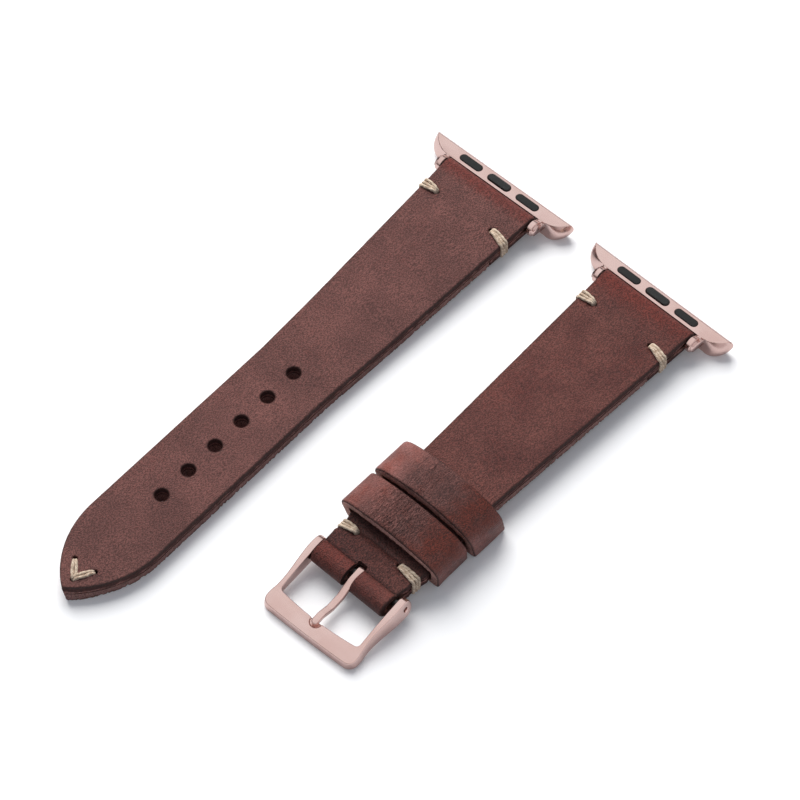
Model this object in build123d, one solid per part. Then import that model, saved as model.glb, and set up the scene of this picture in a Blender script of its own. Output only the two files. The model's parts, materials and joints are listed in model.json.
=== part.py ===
"""Leather watch strap in two halves, each ending in a slide-in adapter for a smart watch.

Each half is built lying flat in its own frame: X runs towards its adapter, Y to its left,
Z up, with the origin at the middle of its adapter end, on the underside of the leather.
The halves are then laid side by side, the way they lie on a table, in millimetres.
"""
from build123d import *
import math
import os

# Leather: a top ply over a lining ply, both cut to one outline
TOP_PLY = 2.0
LINING_PLY = 2.0
LUG_WIDTH = 23.8
TAIL_WIDTH = 18.4
BUCKLE_END_WIDTH = 19.2
LONG_LENGTH = 130.3
LONG_TAPER = 62.0
TIP_LENGTH = 18.0
LUG_BEND_DISTANCE = 45.0
SHORT_BAR_DISTANCE = 88.6
SHORT_TAPER = 58.4
FOLD_FLAP = 14.0
FOLD_SLIT = 0.1
FOLD_VOID_LENGTH = 2.2
PLY_BUTT_GAP = 0.1
LOOP_CLEARANCE = 0.05

# Buckle end of the short half
TONGUE_SLOT_WIDTH = 3.2
TONGUE_SLOT_REACH = 2.2
BUCKLE_ROLL_RADIUS = 2.4
BUCKLE_ROLL_START = 0.6
BUCKLE_ROLL_END = 1.5
BUCKLE_LOOP_BACK = 0.35
BUCKLE_LOOP_FRONT = 1.0
CREASE_DISTANCE = 0.8
CREASE_RADIUS = 0.3
WAIST_DEPTH = 0.7
WAIST_RADIUS = 4.5

# Holes in the tail
HOLE_COUNT = 6
HOLE_RADIUS = 1.5
HOLE_PITCH = 7.83
FIRST_HOLE = 62.4
HOLE_RIM = 0.25

# Stitches: a flat band of thread round the edge, and a V through the tip
THREAD_THICKNESS = 0.6
THREAD_PROUD = 0.35
STITCH_WIDTH = 2.1
STITCH_CORNER = 0.25
LUG_STITCH_DISTANCE = 8.6
LUG_STITCH_INSET = 4.2
BUCKLE_STITCH_DISTANCE = 6.1
BUCKLE_STITCH_INSET = 3.7
TIP_STITCH_WIDTH = 1.3
TIP_STITCH_POST_RADIUS = 0.5
TIP_STITCH_HALF_SPREAD = 2.75
TIP_STITCH_HOLES = 7.0
TIP_STITCH_APEX = 3.1

# Keepers: leather loops that hold the tail down
KEEPER_LEATHER = 2.2
KEEPER_BASE = 1.54
KEEPER_LENGTH = 9.0
KEEPER_WIDTH = 26.8
KEEPER_HEADROOM = 0.6
FIXED_KEEPER_ARCH = 1.7
FLOATING_KEEPER_ARCH = 2.4
KEEPER_FIT = 0.06
KEEPER_OUTER_CORNER = 2.2
KEEPER_INNER_CORNER = 0.6
KEEPER_SEAT_CORNER = 0.2
KEEPER_BASE_CORNER = 0.9
KEEPER_GAP = 1.1
FIXED_KEEPER_DISTANCE = 8.3

# Spring bars: a tube, a coil spring and two sprung tips
BAR_TUBE_RADIUS = 0.9
BAR_TUBE_WALL = 0.2
BAR_END_GAP = 0.35
BAR_LIP_LENGTH = 0.4
BAR_SHANK_LENGTH = 5.0
BAR_PIVOT_RADIUS = 0.5
BAR_PIVOT_REACH = 0.85
BAR_FIT = 0.05
BAR_SPRING_WIRE = 0.1
BAR_SPRING_TURNS = 8

# Adapters: slide-in metal lug ends with two rubber pads and a sprung latch
ADAPTER_LENGTH = 36.8
ADAPTER_DEPTH = 3.35
ADAPTER_HEIGHT = 4.3
ADAPTER_DROP = 1.6
ADAPTER_GAP = 0.15
ADAPTER_NEAR_LENGTH = 25.6
ADAPTER_BULGE = 0.5
ADAPTER_BELLY_HEIGHT = 1.7
ADAPTER_BELLY_LENGTH = 37.4
ADAPTER_BELLY_NEAR_LENGTH = 28.4
ADAPTER_KEEL_LENGTH = 34.8
ADAPTER_KEEL_NEAR_LENGTH = 28.0
ADAPTER_KEEL_INSET = 0.35
ADAPTER_TOP_SAGITTA = 0.8
ADAPTER_BELLY_SAGITTA = 1.6
ADAPTER_KEEL_SAGITTA = 1.2
ADAPTER_BEVEL = 0.25
EAR_GAP = 0.3
EAR_RADIUS = 1.75
EAR_THICKNESS = 1.1
EAR_CAP_INSET = 0.45
EAR_CAP_THICKNESS = 0.4
EAR_ROUND = 0.3
EAR_ROOT_LOW = -0.5
EAR_ROOT_HIGH = 2.1
EAR_ROOT_REACH = 0.9
EAR_HOLE_DEPTH = 0.95
PAD_LENGTH = 5.8
PAD_WIDTH = 1.75
PAD_PITCH = 7.8
PAD_DEPTH = 0.9
PAD_PROUD = 0.1
LATCH_PROUD = 0.3
LATCH_FIT = 0.06
LATCH_CHAMBER_LENGTH = 7.0
LATCH_CHAMBER_WIDTH = 2.3
LATCH_CHAMBER_HEIGHT = 2.6
LATCH_FLANGE_FIT = 0.08
LATCH_FLANGE_THICKNESS = 0.65
LATCH_COVER_THICKNESS = 0.6
LATCH_CROWN = 0.3
LATCH_SPRING_RADIUS = 0.7
LATCH_SPRING_WIRE = 0.1
LATCH_SPRING_TURNS = 4

# Buckle frame, measured from the axis of its spring bar
FRAME_CLEARANCE = 0.6
FRAME_ARM = 1.8
FRAME_ARM_SWELL = 0.25
FRAME_REACH = 17.0
FRAME_PLATE_DEPTH = 4.8
FRAME_PLATE_SIDE = 3.6
FRAME_PLATE_FLARE = 0.15
FRAME_WAIST_SETBACK = 6.2
FRAME_WAIST_DEPTH = 0.15
FRAME_BOW = 0.25
FRAME_CORNER = 2.3
FRAME_TAPER = 12.0
FRAME_WINDOW_BOW = 0.7
FRAME_WINDOW_CORNER = 1.0
FRAME_EAR_RADIUS = 1.9
FRAME_PLATE_TOP = 0.75
FRAME_PLATE_BOTTOM = 1.45
FRAME_PLATE_DROP = 0.3
NOTCH_RADIUS = 1.35
NOTCH_SETBACK = 3.9
NOTCH_DEPTH = 0.45

# Buckle tongue, in the frame's plane
TONGUE_WIDTH = 1.9
TONGUE_THICKNESS = 1.1
TONGUE_EYE_RADIUS = 1.9
TONGUE_SEAT_GAP = 0.03
TONGUE_SAG = 0.25
TONGUE_BEND = 2.5
TONGUE_KNEE_SHARES = (0.17, 0.44, 0.68, 0.88)

# Layout on the table, as photographed
HALF_SPACING = 43.5
SHORT_END_OFFSET = -0.3
SHORT_TURN = -1.2
BUCKLE_OFFSET = -0.4
BUCKLE_TURN = 2.0

# One overrun for every through cut
OVERRUN = 1.0

STRAP_THICKNESS = TOP_PLY + LINING_PLY
ROLL_RADIUS = STRAP_THICKNESS / 2
BAR_SPAN_AT_LUG = LUG_WIDTH + 2 * EAR_GAP
BAR_SPAN_AT_BUCKLE = BUCKLE_END_WIDTH + 2 * FRAME_CLEARANCE
SHORT_LENGTH = SHORT_BAR_DISTANCE + BUCKLE_ROLL_END + BUCKLE_ROLL_RADIUS
BUCKLE_FLAP_END = FOLD_FLAP - ROLL_RADIUS - SHORT_BAR_DISTANCE
PAD_CENTRE = ADAPTER_GAP + ADAPTER_DEPTH / 2
ADAPTER_FAR = ADAPTER_GAP + ADAPTER_DEPTH
KEEL_FAR = ADAPTER_FAR - ADAPTER_KEEL_INSET
FIXED_KEEPER_START = -(SHORT_BAR_DISTANCE - FIXED_KEEPER_DISTANCE)
FLOATING_KEEPER_START = FIXED_KEEPER_START + KEEPER_LENGTH + KEEPER_GAP
FRAME_WINDOW_REACH = FRAME_REACH - FRAME_PLATE_DEPTH
FRAME_PLATE_DISTANCE = FRAME_REACH - FRAME_PLATE_SIDE
FRAME_WAIST_DISTANCE = FRAME_REACH - FRAME_WAIST_SETBACK
NOTCH_DISTANCE = FRAME_REACH - NOTCH_SETBACK


def prism_along_y(sketch, width):
    """Solid of a side profile, drawn with X across and Z up, centred on Y = 0."""
    return extrude(Plane.XZ * sketch, amount=width / 2, both=True)


def prism_along_x(sketch, start, length):
    """Solid of a cross section, drawn with Y across and Z up, from start along X."""
    return Pos(start, 0, 0) * extrude(Plane.YZ * sketch, amount=length)


def rectangle_between(low_x, high_x, low_y, high_y):
    """Rectangle sketch from two corners."""
    middle = ((low_x + high_x) / 2, (low_y + high_y) / 2)
    return Pos(*middle) * Rectangle(high_x - low_x, high_y - low_y)


def rod(radius, start, end):
    """Round rod along Y on the axis of the local frame."""
    return Pos(0, (start + end) / 2, 0) * Rot(90, 0, 0) * Cylinder(radius, abs(end - start))


def moved(place, pieces):
    """The same pieces by node name, each moved."""
    return {name: place * piece for name, piece in pieces.items()}


def half_width(distance, end_width, taper):
    """Half the strap's width at a distance from its adapter end."""
    share = min(distance / taper, 1)
    return (LUG_WIDTH + (end_width - LUG_WIDTH) * share) / 2


# Leather outlines

def long_outline():
    """Plan of the long half: a taper, a straight tail and a pointed tip with curved sides."""
    lug = LUG_WIDTH / 2
    tail = TAIL_WIDTH / 2
    shoulder = TIP_LENGTH - LONG_LENGTH
    left = Polyline((0, lug), (-LONG_TAPER, tail), (shoulder, tail))
    left_tip = TangentArc((shoulder, tail), (-LONG_LENGTH, 0), tangent=(-1, 0))
    edges = left.edges() + left_tip.edges()
    mirrored = [edge.mirror(Plane.XZ) for edge in edges]
    lug_end = Line((0, lug), (0, -lug))
    return make_face([*edges, *mirrored, *lug_end.edges()])


def short_outline():
    """Plan of the short half: a taper, then straight to the buckle with two shallow waists."""
    lug = LUG_WIDTH / 2
    end = BUCKLE_END_WIDTH / 2
    outline = make_face(
        Polyline(
            (0, lug), (-SHORT_TAPER, end), (-SHORT_LENGTH, end),
            (-SHORT_LENGTH, -end), (-SHORT_TAPER, -end), (0, -lug), close=True,
        ).edges()
    )
    stitch_x = BUCKLE_STITCH_DISTANCE - SHORT_BAR_DISTANCE
    waist_y = end + WAIST_RADIUS - WAIST_DEPTH
    for side in (1, -1):
        outline -= Pos(stitch_x, side * waist_y) * Circle(WAIST_RADIUS)
    return outline


def level_slot(low_x, high_x, radius):
    """Round-ended shape in a side profile, level with the bars, between two end centres."""
    ends = Pos(low_x, ROLL_RADIUS) * Circle(radius) + Pos(high_x, ROLL_RADIUS) * Circle(radius)
    return ends + rectangle_between(low_x, high_x, ROLL_RADIUS - radius, ROLL_RADIUS + radius)


def fold_void(start_x, end_x):
    """Side profile of the pointed void between a loop and the flap's slit."""
    loop_radius = BAR_TUBE_RADIUS + LOOP_CLEARANCE
    return make_face(
        Polyline(
            (start_x, ROLL_RADIUS + loop_radius), (end_x, LINING_PLY),
            (start_x, ROLL_RADIUS - loop_radius), close=True,
        ).edges()
    )


def lug_fold_profile():
    """Side profile of the roll round a lug bar, and of the flap under the strap."""
    roll = Pos(-ROLL_RADIUS, ROLL_RADIUS) * Circle(ROLL_RADIUS)
    return roll + rectangle_between(-FOLD_FLAP, -ROLL_RADIUS, 0, LINING_PLY)


def lug_fold_cut():
    """Side profile of a lug bar's loop, the void behind it and the slit to the flap."""
    loop_radius = BAR_TUBE_RADIUS + LOOP_CLEARANCE
    loop = Pos(-ROLL_RADIUS, ROLL_RADIUS) * Circle(loop_radius)
    void = fold_void(-ROLL_RADIUS, -ROLL_RADIUS - loop_radius - FOLD_VOID_LENGTH)
    slit = rectangle_between(
        -FOLD_FLAP - OVERRUN, -ROLL_RADIUS, LINING_PLY - FOLD_SLIT, LINING_PLY
    )
    return loop + void + slit


def buckle_fold_profile():
    """Side profile of the fuller roll round the buckle bar, and of its flap."""
    low_x = -SHORT_BAR_DISTANCE - BUCKLE_ROLL_END
    high_x = -SHORT_BAR_DISTANCE - BUCKLE_ROLL_START
    flap = rectangle_between(high_x, BUCKLE_FLAP_END, 0, LINING_PLY)
    return level_slot(low_x, high_x, BUCKLE_ROLL_RADIUS) + flap


def buckle_fold_cut():
    """Side profile of the buckle bar's loose loop, the void behind it and the slit."""
    loop_radius = BAR_TUBE_RADIUS + LOOP_CLEARANCE
    low_x = -SHORT_BAR_DISTANCE - BUCKLE_LOOP_FRONT
    high_x = BUCKLE_LOOP_BACK - SHORT_BAR_DISTANCE
    void = fold_void(high_x, high_x + loop_radius + FOLD_VOID_LENGTH)
    slit = rectangle_between(
        high_x, BUCKLE_FLAP_END + OVERRUN, LINING_PLY - FOLD_SLIT, LINING_PLY
    )
    return level_slot(low_x, high_x, loop_radius) + void + slit


def leather_prism(profile, outline):
    """Solid with the given side profile inside the given plan."""
    plan = extrude(outline, amount=2 * STRAP_THICKNESS, both=True)
    return prism_along_y(profile, LUG_WIDTH + OVERRUN) & plan


# Stitches

def edge_stitch(centre_x, edge_y, inset, side):
    """Closed band of thread: down through a hole and round the leather's edge."""
    inner_y = edge_y - inset
    outer = rectangle_between(
        inner_y - THREAD_THICKNESS / 2, edge_y + THREAD_PROUD,
        0, STRAP_THICKNESS + THREAD_PROUD,
    )
    outer = fillet(outer.vertices(), STITCH_CORNER)
    sunk = THREAD_THICKNESS - THREAD_PROUD
    inner = rectangle_between(
        inner_y + THREAD_THICKNESS / 2, edge_y - sunk,
        THREAD_THICKNESS, STRAP_THICKNESS - sunk,
    )
    band = prism_along_x(outer - inner, centre_x - STITCH_WIDTH / 2, STITCH_WIDTH)
    if side < 0:
        band = band.mirror(Plane.XZ)
    return band


def tip_stitch():
    """V of thread through the tip: two legs above, two below, and a post at each hole."""
    apex = (TIP_STITCH_APEX - LONG_LENGTH, 0)
    sunk = THREAD_THICKNESS - THREAD_PROUD
    top_z = STRAP_THICKNESS - sunk
    post = extrude(Circle(TIP_STITCH_POST_RADIUS), amount=STRAP_THICKNESS)
    stitch = Pos(*apex, 0) * post
    for side in (1, -1):
        hole = (TIP_STITCH_HOLES - LONG_LENGTH, side * TIP_STITCH_HALF_SPREAD)
        leg_line = Line(apex, hole)
        leg = SlotCenterToCenter(leg_line.length, TIP_STITCH_WIDTH)
        angle = math.degrees(math.atan2(hole[1] - apex[1], hole[0] - apex[0]))
        middle = leg_line @ 0.5
        for low_z in (0, top_z):
            stitch += Pos(middle.X, middle.Y, low_z) * Rot(0, 0, angle) * extrude(
                leg, amount=THREAD_THICKNESS
            )
        stitch += Pos(*hole, 0) * post
    return stitch


def lug_stitch(side, end_width, taper):
    """Edge stitch behind a lug bar."""
    edge_y = half_width(LUG_STITCH_DISTANCE, end_width, taper)
    return edge_stitch(-LUG_STITCH_DISTANCE, edge_y, LUG_STITCH_INSET, side)


def buckle_stitch(side):
    """Edge stitch behind the buckle bar, in the strap's waist."""
    edge_y = BUCKLE_END_WIDTH / 2 - WAIST_DEPTH
    inset = BUCKLE_STITCH_INSET - WAIST_DEPTH
    centre_x = BUCKLE_STITCH_DISTANCE - SHORT_BAR_DISTANCE
    return edge_stitch(centre_x, edge_y, inset, side)


# Leather plies

def adjustment_holes():
    """Row of round holes in the tail, each with a softened upper rim."""
    hole = extrude(Circle(HOLE_RADIUS), amount=STRAP_THICKNESS)
    rim = Pos(0, 0, STRAP_THICKNESS - HOLE_RIM / 2) * Cone(HOLE_RADIUS, HOLE_RADIUS + HOLE_RIM, HOLE_RIM)
    shape = hole + rim
    return [Pos(-FIRST_HOLE - index * HOLE_PITCH, 0, 0) * shape for index in range(HOLE_COUNT)]


def cut_all(solid, cutters):
    """Solid with every cutter taken away."""
    for cutter in cutters:
        solid -= cutter
    return solid


def long_tail(low_z, high_z):
    """Flat tail of one ply of the long half, with its holes and the tip stitch's grooves."""
    profile = rectangle_between(-LONG_LENGTH, -LUG_BEND_DISTANCE, low_z, high_z)
    return cut_all(leather_prism(profile, long_outline()), [*adjustment_holes(), tip_stitch()])


def long_top_ply(stitches):
    """Top ply of the long half: the tail, and a rising end folded round the lug bar."""
    profile = rectangle_between(-LUG_BEND_DISTANCE, -ROLL_RADIUS, LINING_PLY, STRAP_THICKNESS)
    profile += lug_fold_profile()
    profile -= lug_fold_cut()
    end = cut_all(leather_prism(profile, long_outline()), stitches)
    return long_tail(LINING_PLY, STRAP_THICKNESS) + lug_rise() * end


def long_lining_ply(stitches):
    """Lining ply of the long half, from the flap's end to the tip."""
    profile = rectangle_between(-LUG_BEND_DISTANCE, -FOLD_FLAP - PLY_BUTT_GAP, 0, LINING_PLY)
    end = cut_all(leather_prism(profile, long_outline()), stitches)
    return long_tail(0, LINING_PLY) + lug_rise() * end


def tongue_slot():
    """Slot through the buckle roll that the tongue swings in."""
    low_x = -SHORT_LENGTH - OVERRUN
    high_x = TONGUE_SLOT_REACH - SHORT_BAR_DISTANCE
    half = TONGUE_SLOT_WIDTH / 2
    slot = rectangle_between(low_x, high_x, -half, half)
    return extrude(slot, amount=2 * STRAP_THICKNESS, both=True)


def crease():
    """Groove across the top ply where the buckle roll begins."""
    middle = Pos(CREASE_DISTANCE - SHORT_BAR_DISTANCE, STRAP_THICKNESS)
    return prism_along_y(middle * Circle(CREASE_RADIUS), LUG_WIDTH)


def short_top_ply(stitches):
    """Top ply of the short half, folded round the lug bar and round the buckle bar."""
    profile = rectangle_between(
        -SHORT_BAR_DISTANCE, -ROLL_RADIUS, LINING_PLY, STRAP_THICKNESS
    )
    profile += lug_fold_profile() + buckle_fold_profile()
    profile -= lug_fold_cut() + buckle_fold_cut()
    ply = leather_prism(profile, short_outline())
    return cut_all(ply, [tongue_slot(), crease(), *stitches])


def short_lining_ply(stitches):
    """Lining ply of the short half, between the ends of its two flaps."""
    low_x = BUCKLE_FLAP_END + PLY_BUTT_GAP
    profile = rectangle_between(low_x, -FOLD_FLAP - PLY_BUTT_GAP, 0, LINING_PLY)
    ply = leather_prism(profile, short_outline())
    return cut_all(ply, stitches)


# Keepers

def arched_section(half_width_y, low_z, corner_z, arch, corner, base_corner):
    """Cross section with a flat base, upright sides and an arched top."""
    right = (half_width_y, corner_z)
    left = (-half_width_y, corner_z)
    base = Polyline(left, (-half_width_y, low_z), (half_width_y, low_z), right)
    top = ThreePointArc(right, (0, corner_z + arch), left)
    section = make_face([*base.edges(), *top.edges()])
    low_corners = section.vertices().sort_by(Axis.Y)[:2]
    section = fillet(low_corners, base_corner)
    high_corners = [vertex for vertex in section.vertices() if vertex.Y > corner_z - KEEPER_FIT]
    return fillet(high_corners, corner)


def keeper(start_x, fit, arch):
    """Leather loop round the strap, its base under the strap with the given gap."""
    outer_half = KEEPER_WIDTH / 2
    inner_half = outer_half - KEEPER_LEATHER
    inner_top = STRAP_THICKNESS + KEEPER_HEADROOM
    outer = arched_section(
        outer_half, -fit - KEEPER_BASE, inner_top + KEEPER_LEATHER, arch,
        KEEPER_OUTER_CORNER, KEEPER_BASE_CORNER,
    )
    inner = arched_section(
        inner_half, -fit, inner_top, arch, KEEPER_INNER_CORNER, KEEPER_SEAT_CORNER
    )
    return prism_along_x(outer - inner, start_x, KEEPER_LENGTH)


# Spring bars, each along Y about its own centre

def tube_half(span):
    """Half the length of a spring bar's tube between two ears."""
    return span / 2 - BAR_END_GAP


def bar_tube(span):
    """Tube with a narrower lip at each end that keeps the tips in."""
    half = tube_half(span)
    bore = BAR_TUBE_RADIUS - BAR_TUBE_WALL
    tube = rod(BAR_TUBE_RADIUS, -half, half)
    tube -= rod(bore, BAR_LIP_LENGTH - half, half - BAR_LIP_LENGTH)
    return tube - rod(BAR_PIVOT_RADIUS + BAR_FIT, -half - OVERRUN, half + OVERRUN)


def bar_tip(span, side):
    """Sprung tip: a shank inside the tube and a pivot that reaches into an ear."""
    shank_end = tube_half(span) - BAR_LIP_LENGTH - BAR_FIT
    shank_radius = BAR_TUBE_RADIUS - BAR_TUBE_WALL - BAR_FIT
    shank = rod(shank_radius, shank_end - BAR_SHANK_LENGTH, shank_end)
    tip = shank + rod(BAR_PIVOT_RADIUS, shank_end, span / 2 + BAR_PIVOT_REACH)
    if side < 0:
        tip = tip.mirror(Plane.XZ)
    return tip


def coil(radius, wire, turns, height):
    """Coil spring along Z from Z = 0, its ends clear of both seats by one wire."""
    rise = height - 4 * wire
    path = Helix(rise / turns, rise, radius)
    section = Plane(origin=path @ 0, z_dir=path % 0) * Circle(wire)
    return Pos(0, 0, 2 * wire) * sweep(section, path)


def bar_spring(span):
    """Coil spring inside the tube, between the two shanks."""
    shank_start = tube_half(span) - BAR_LIP_LENGTH - BAR_FIT - BAR_SHANK_LENGTH
    radius = BAR_TUBE_RADIUS - BAR_TUBE_WALL - BAR_FIT - BAR_SPRING_WIRE
    spring = coil(radius, BAR_SPRING_WIRE, BAR_SPRING_TURNS, 2 * shank_start)
    return Rot(90, 0, 0) * Pos(0, 0, -shank_start) * spring


def spring_bar(prefix, span, place):
    """The four pieces of one spring bar, by node name."""
    pieces = {
        f"{prefix}_tube": bar_tube(span),
        f"{prefix}_spring": bar_spring(span),
        f"{prefix}_tip_left": bar_tip(span, 1),
        f"{prefix}_tip_right": bar_tip(span, -1),
    }
    return moved(place, pieces)


# Adapters

def adapter_level(near_length, far_length, far_x, sagitta, height):
    """Plan of the adapter at one height: straight near and far edges, curved ends."""
    near = near_length / 2
    far = far_length / 2
    near_point = Vector(ADAPTER_GAP, near)
    far_point = Vector(far_x, far)
    chord = far_point - near_point
    outward = Vector(-chord.Y, chord.X).normalized() * sagitta
    bulge = (near_point + far_point) / 2 + outward
    end = ThreePointArc(near_point, bulge, far_point)
    other_end = end.mirror(Plane.XZ)
    near_edge = Line((ADAPTER_GAP, -near), (ADAPTER_GAP, near))
    far_edge = Line((far_x, far), (far_x, -far))
    outline = make_face([*near_edge.edges(), *end.edges(), *far_edge.edges(), *other_end.edges()])
    return Pos(0, 0, height) * outline


def adapter_hull():
    """Hull-shaped bar: a flat top with pointed ends over a fuller, rounder belly."""
    keel = adapter_level(
        ADAPTER_KEEL_NEAR_LENGTH, ADAPTER_KEEL_LENGTH, KEEL_FAR, ADAPTER_KEEL_SAGITTA, 0
    )
    belly = adapter_level(
        ADAPTER_BELLY_NEAR_LENGTH, ADAPTER_BELLY_LENGTH, ADAPTER_FAR + ADAPTER_BULGE,
        ADAPTER_BELLY_SAGITTA, ADAPTER_BELLY_HEIGHT,
    )
    deck = adapter_level(
        ADAPTER_NEAR_LENGTH, ADAPTER_LENGTH, ADAPTER_FAR, ADAPTER_TOP_SAGITTA, ADAPTER_HEIGHT
    )
    return loft([keel, belly, deck])


def adapter_bevel():
    """Narrow bevel along the far edge of the deck."""
    corner = (ADAPTER_FAR + OVERRUN, ADAPTER_HEIGHT + OVERRUN)
    profile = make_face(
        Polyline(
            (ADAPTER_FAR - ADAPTER_BEVEL - OVERRUN, ADAPTER_HEIGHT + OVERRUN),
            (ADAPTER_FAR + OVERRUN, ADAPTER_HEIGHT - ADAPTER_BEVEL - OVERRUN),
            corner, close=True,
        ).edges()
    )
    return prism_along_y(profile, ADAPTER_LENGTH + OVERRUN)


def ear_outline(inset):
    """Side view of an ear: a round end about the bar, on a neck that rises to it."""
    radius = EAR_RADIUS - inset
    root_x = ADAPTER_GAP + EAR_ROOT_REACH
    round_end = Pos(-ROLL_RADIUS, ROLL_RADIUS) * Circle(radius)
    neck = make_face(
        Polyline(
            (-ROLL_RADIUS, ROLL_RADIUS - radius), (root_x, EAR_ROOT_LOW + inset),
            (root_x, EAR_ROOT_HIGH - inset), (-ROLL_RADIUS, ROLL_RADIUS + radius), close=True,
        ).edges()
    )
    return round_end + neck


def adapter_ear(side):
    """One ear beside the leather, with a stepped outer face."""
    inner_y = BAR_SPAN_AT_LUG / 2
    ear = extrude(Plane.XZ * ear_outline(0), amount=-EAR_THICKNESS)
    cap = extrude(
        Plane.XZ * ear_outline(EAR_CAP_INSET), amount=-EAR_THICKNESS - EAR_CAP_THICKNESS
    )
    rounded = fillet(ear.faces().sort_by(Axis.Y)[-1].edges(), EAR_ROUND)
    ear = Pos(0, inner_y, 0) * (rounded + cap)
    if side < 0:
        ear = ear.mirror(Plane.XZ)
    return ear


def pill(length, width, low_z, height, middle_y=0):
    """Upright pill-shaped block along Y, at a height above the adapter's underside."""
    shape = extrude(Rot(0, 0, 90) * SlotOverall(length, width), amount=height)
    return Pos(PAD_CENTRE, middle_y, low_z - ADAPTER_DROP) * shape


def adapter_body():
    """Adapter metal with its ears, pad pockets and the latch's slot and chamber."""
    body = Pos(0, 0, -ADAPTER_DROP) * (adapter_hull() - adapter_bevel())
    body += adapter_ear(1)
    body += adapter_ear(-1)
    hole_half = BAR_SPAN_AT_LUG / 2 + EAR_HOLE_DEPTH
    body -= Pos(-ROLL_RADIUS, 0, ROLL_RADIUS) * rod(BAR_PIVOT_RADIUS + BAR_FIT, -hole_half, hole_half)
    for side in (1, -1):
        body -= pill(
            PAD_LENGTH, PAD_WIDTH, ADAPTER_HEIGHT - PAD_DEPTH, PAD_DEPTH + OVERRUN, side * PAD_PITCH
        )
    body -= pill(LATCH_CHAMBER_LENGTH, LATCH_CHAMBER_WIDTH, -OVERRUN, LATCH_CHAMBER_HEIGHT + OVERRUN)
    body -= pill(
        PAD_LENGTH + 2 * LATCH_FIT, PAD_WIDTH + 2 * LATCH_FIT, 0, ADAPTER_HEIGHT + OVERRUN
    )
    return body


def adapter_pad(side):
    """Rubber pad in its pocket, a little proud of the deck."""
    return pill(
        PAD_LENGTH, PAD_WIDTH, ADAPTER_HEIGHT - PAD_DEPTH, PAD_DEPTH + PAD_PROUD, side * PAD_PITCH
    )


def latch_button():
    """Sprung latch: a pill with a crowned top, and a flange that keeps it in the chamber."""
    flange_top = LATCH_CHAMBER_HEIGHT - LATCH_FLANGE_FIT
    flange_low = flange_top - LATCH_FLANGE_THICKNESS
    flange = pill(
        LATCH_CHAMBER_LENGTH - 2 * LATCH_FLANGE_FIT, LATCH_CHAMBER_WIDTH - 2 * LATCH_FLANGE_FIT,
        flange_low, LATCH_FLANGE_THICKNESS,
    )
    stem = pill(PAD_LENGTH, PAD_WIDTH, flange_low, ADAPTER_HEIGHT + LATCH_PROUD - flange_low)
    stem = fillet(stem.faces().sort_by(Axis.Z)[-1].edges(), LATCH_CROWN)
    return stem + flange


def latch_cover():
    """Cover that closes the latch's chamber, flush with the adapter's underside."""
    return pill(LATCH_CHAMBER_LENGTH, LATCH_CHAMBER_WIDTH, 0, LATCH_COVER_THICKNESS)


def latch_spring():
    """Coil spring between the cover and the latch."""
    top = LATCH_CHAMBER_HEIGHT - LATCH_FLANGE_FIT - LATCH_FLANGE_THICKNESS
    spring = coil(
        LATCH_SPRING_RADIUS, LATCH_SPRING_WIRE, LATCH_SPRING_TURNS, top - LATCH_COVER_THICKNESS
    )
    return Pos(PAD_CENTRE, 0, LATCH_COVER_THICKNESS - ADAPTER_DROP) * spring


def adapter(prefix):
    """The six pieces of one adapter, by node name."""
    return {
        f"{prefix}_adapter_body": adapter_body(),
        f"{prefix}_adapter_pad_left": adapter_pad(1),
        f"{prefix}_adapter_pad_right": adapter_pad(-1),
        f"{prefix}_latch_button": latch_button(),
        f"{prefix}_latch_spring": latch_spring(),
        f"{prefix}_latch_cover": latch_cover(),
    }


# Buckle, about the axis of its bar, reaching out along -X

def frame_outline():
    """Plan of the frame's underside: two slightly swelling arms and a bowed plate."""
    outer = BAR_SPAN_AT_BUCKLE / 2 + FRAME_ARM
    plate = outer + FRAME_PLATE_FLARE
    corner_x = FRAME_BOW - FRAME_REACH
    back_x = FRAME_EAR_RADIUS + OVERRUN
    side_curve = Spline(
        (back_x, outer),
        (-FRAME_WAIST_DISTANCE / 2, outer + FRAME_ARM_SWELL),
        (-FRAME_WAIST_DISTANCE, outer - FRAME_WAIST_DEPTH),
        (-FRAME_PLATE_DISTANCE, plate),
    )
    plate_side = Line((-FRAME_PLATE_DISTANCE, plate), (corner_x, plate))
    sides = side_curve.edges() + plate_side.edges()
    mirrored = [edge.mirror(Plane.XZ) for edge in sides]
    front = ThreePointArc((corner_x, plate), (-FRAME_REACH, 0), (corner_x, -plate))
    back = Line((back_x, outer), (back_x, -outer))
    outline = make_face([*sides, *mirrored, *front.edges(), *back.edges()])
    return fillet(outline.vertices().sort_by(Axis.X)[:2], FRAME_CORNER)


def frame_window():
    """Plan of the frame's window, open at the back, with a bowed front edge."""
    inner = BAR_SPAN_AT_BUCKLE / 2
    back_x = FRAME_EAR_RADIUS + 2 * OVERRUN
    sides = Polyline(
        (-FRAME_WINDOW_REACH, inner), (back_x, inner), (back_x, -inner), (-FRAME_WINDOW_REACH, -inner),
    )
    front = ThreePointArc(
        (-FRAME_WINDOW_REACH, -inner), (-FRAME_WINDOW_REACH - FRAME_WINDOW_BOW, 0),
        (-FRAME_WINDOW_REACH, inner),
    )
    window = make_face([*sides.edges(), *front.edges()])
    return fillet(window.vertices().sort_by(Axis.X)[:2], FRAME_WINDOW_CORNER)


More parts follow.
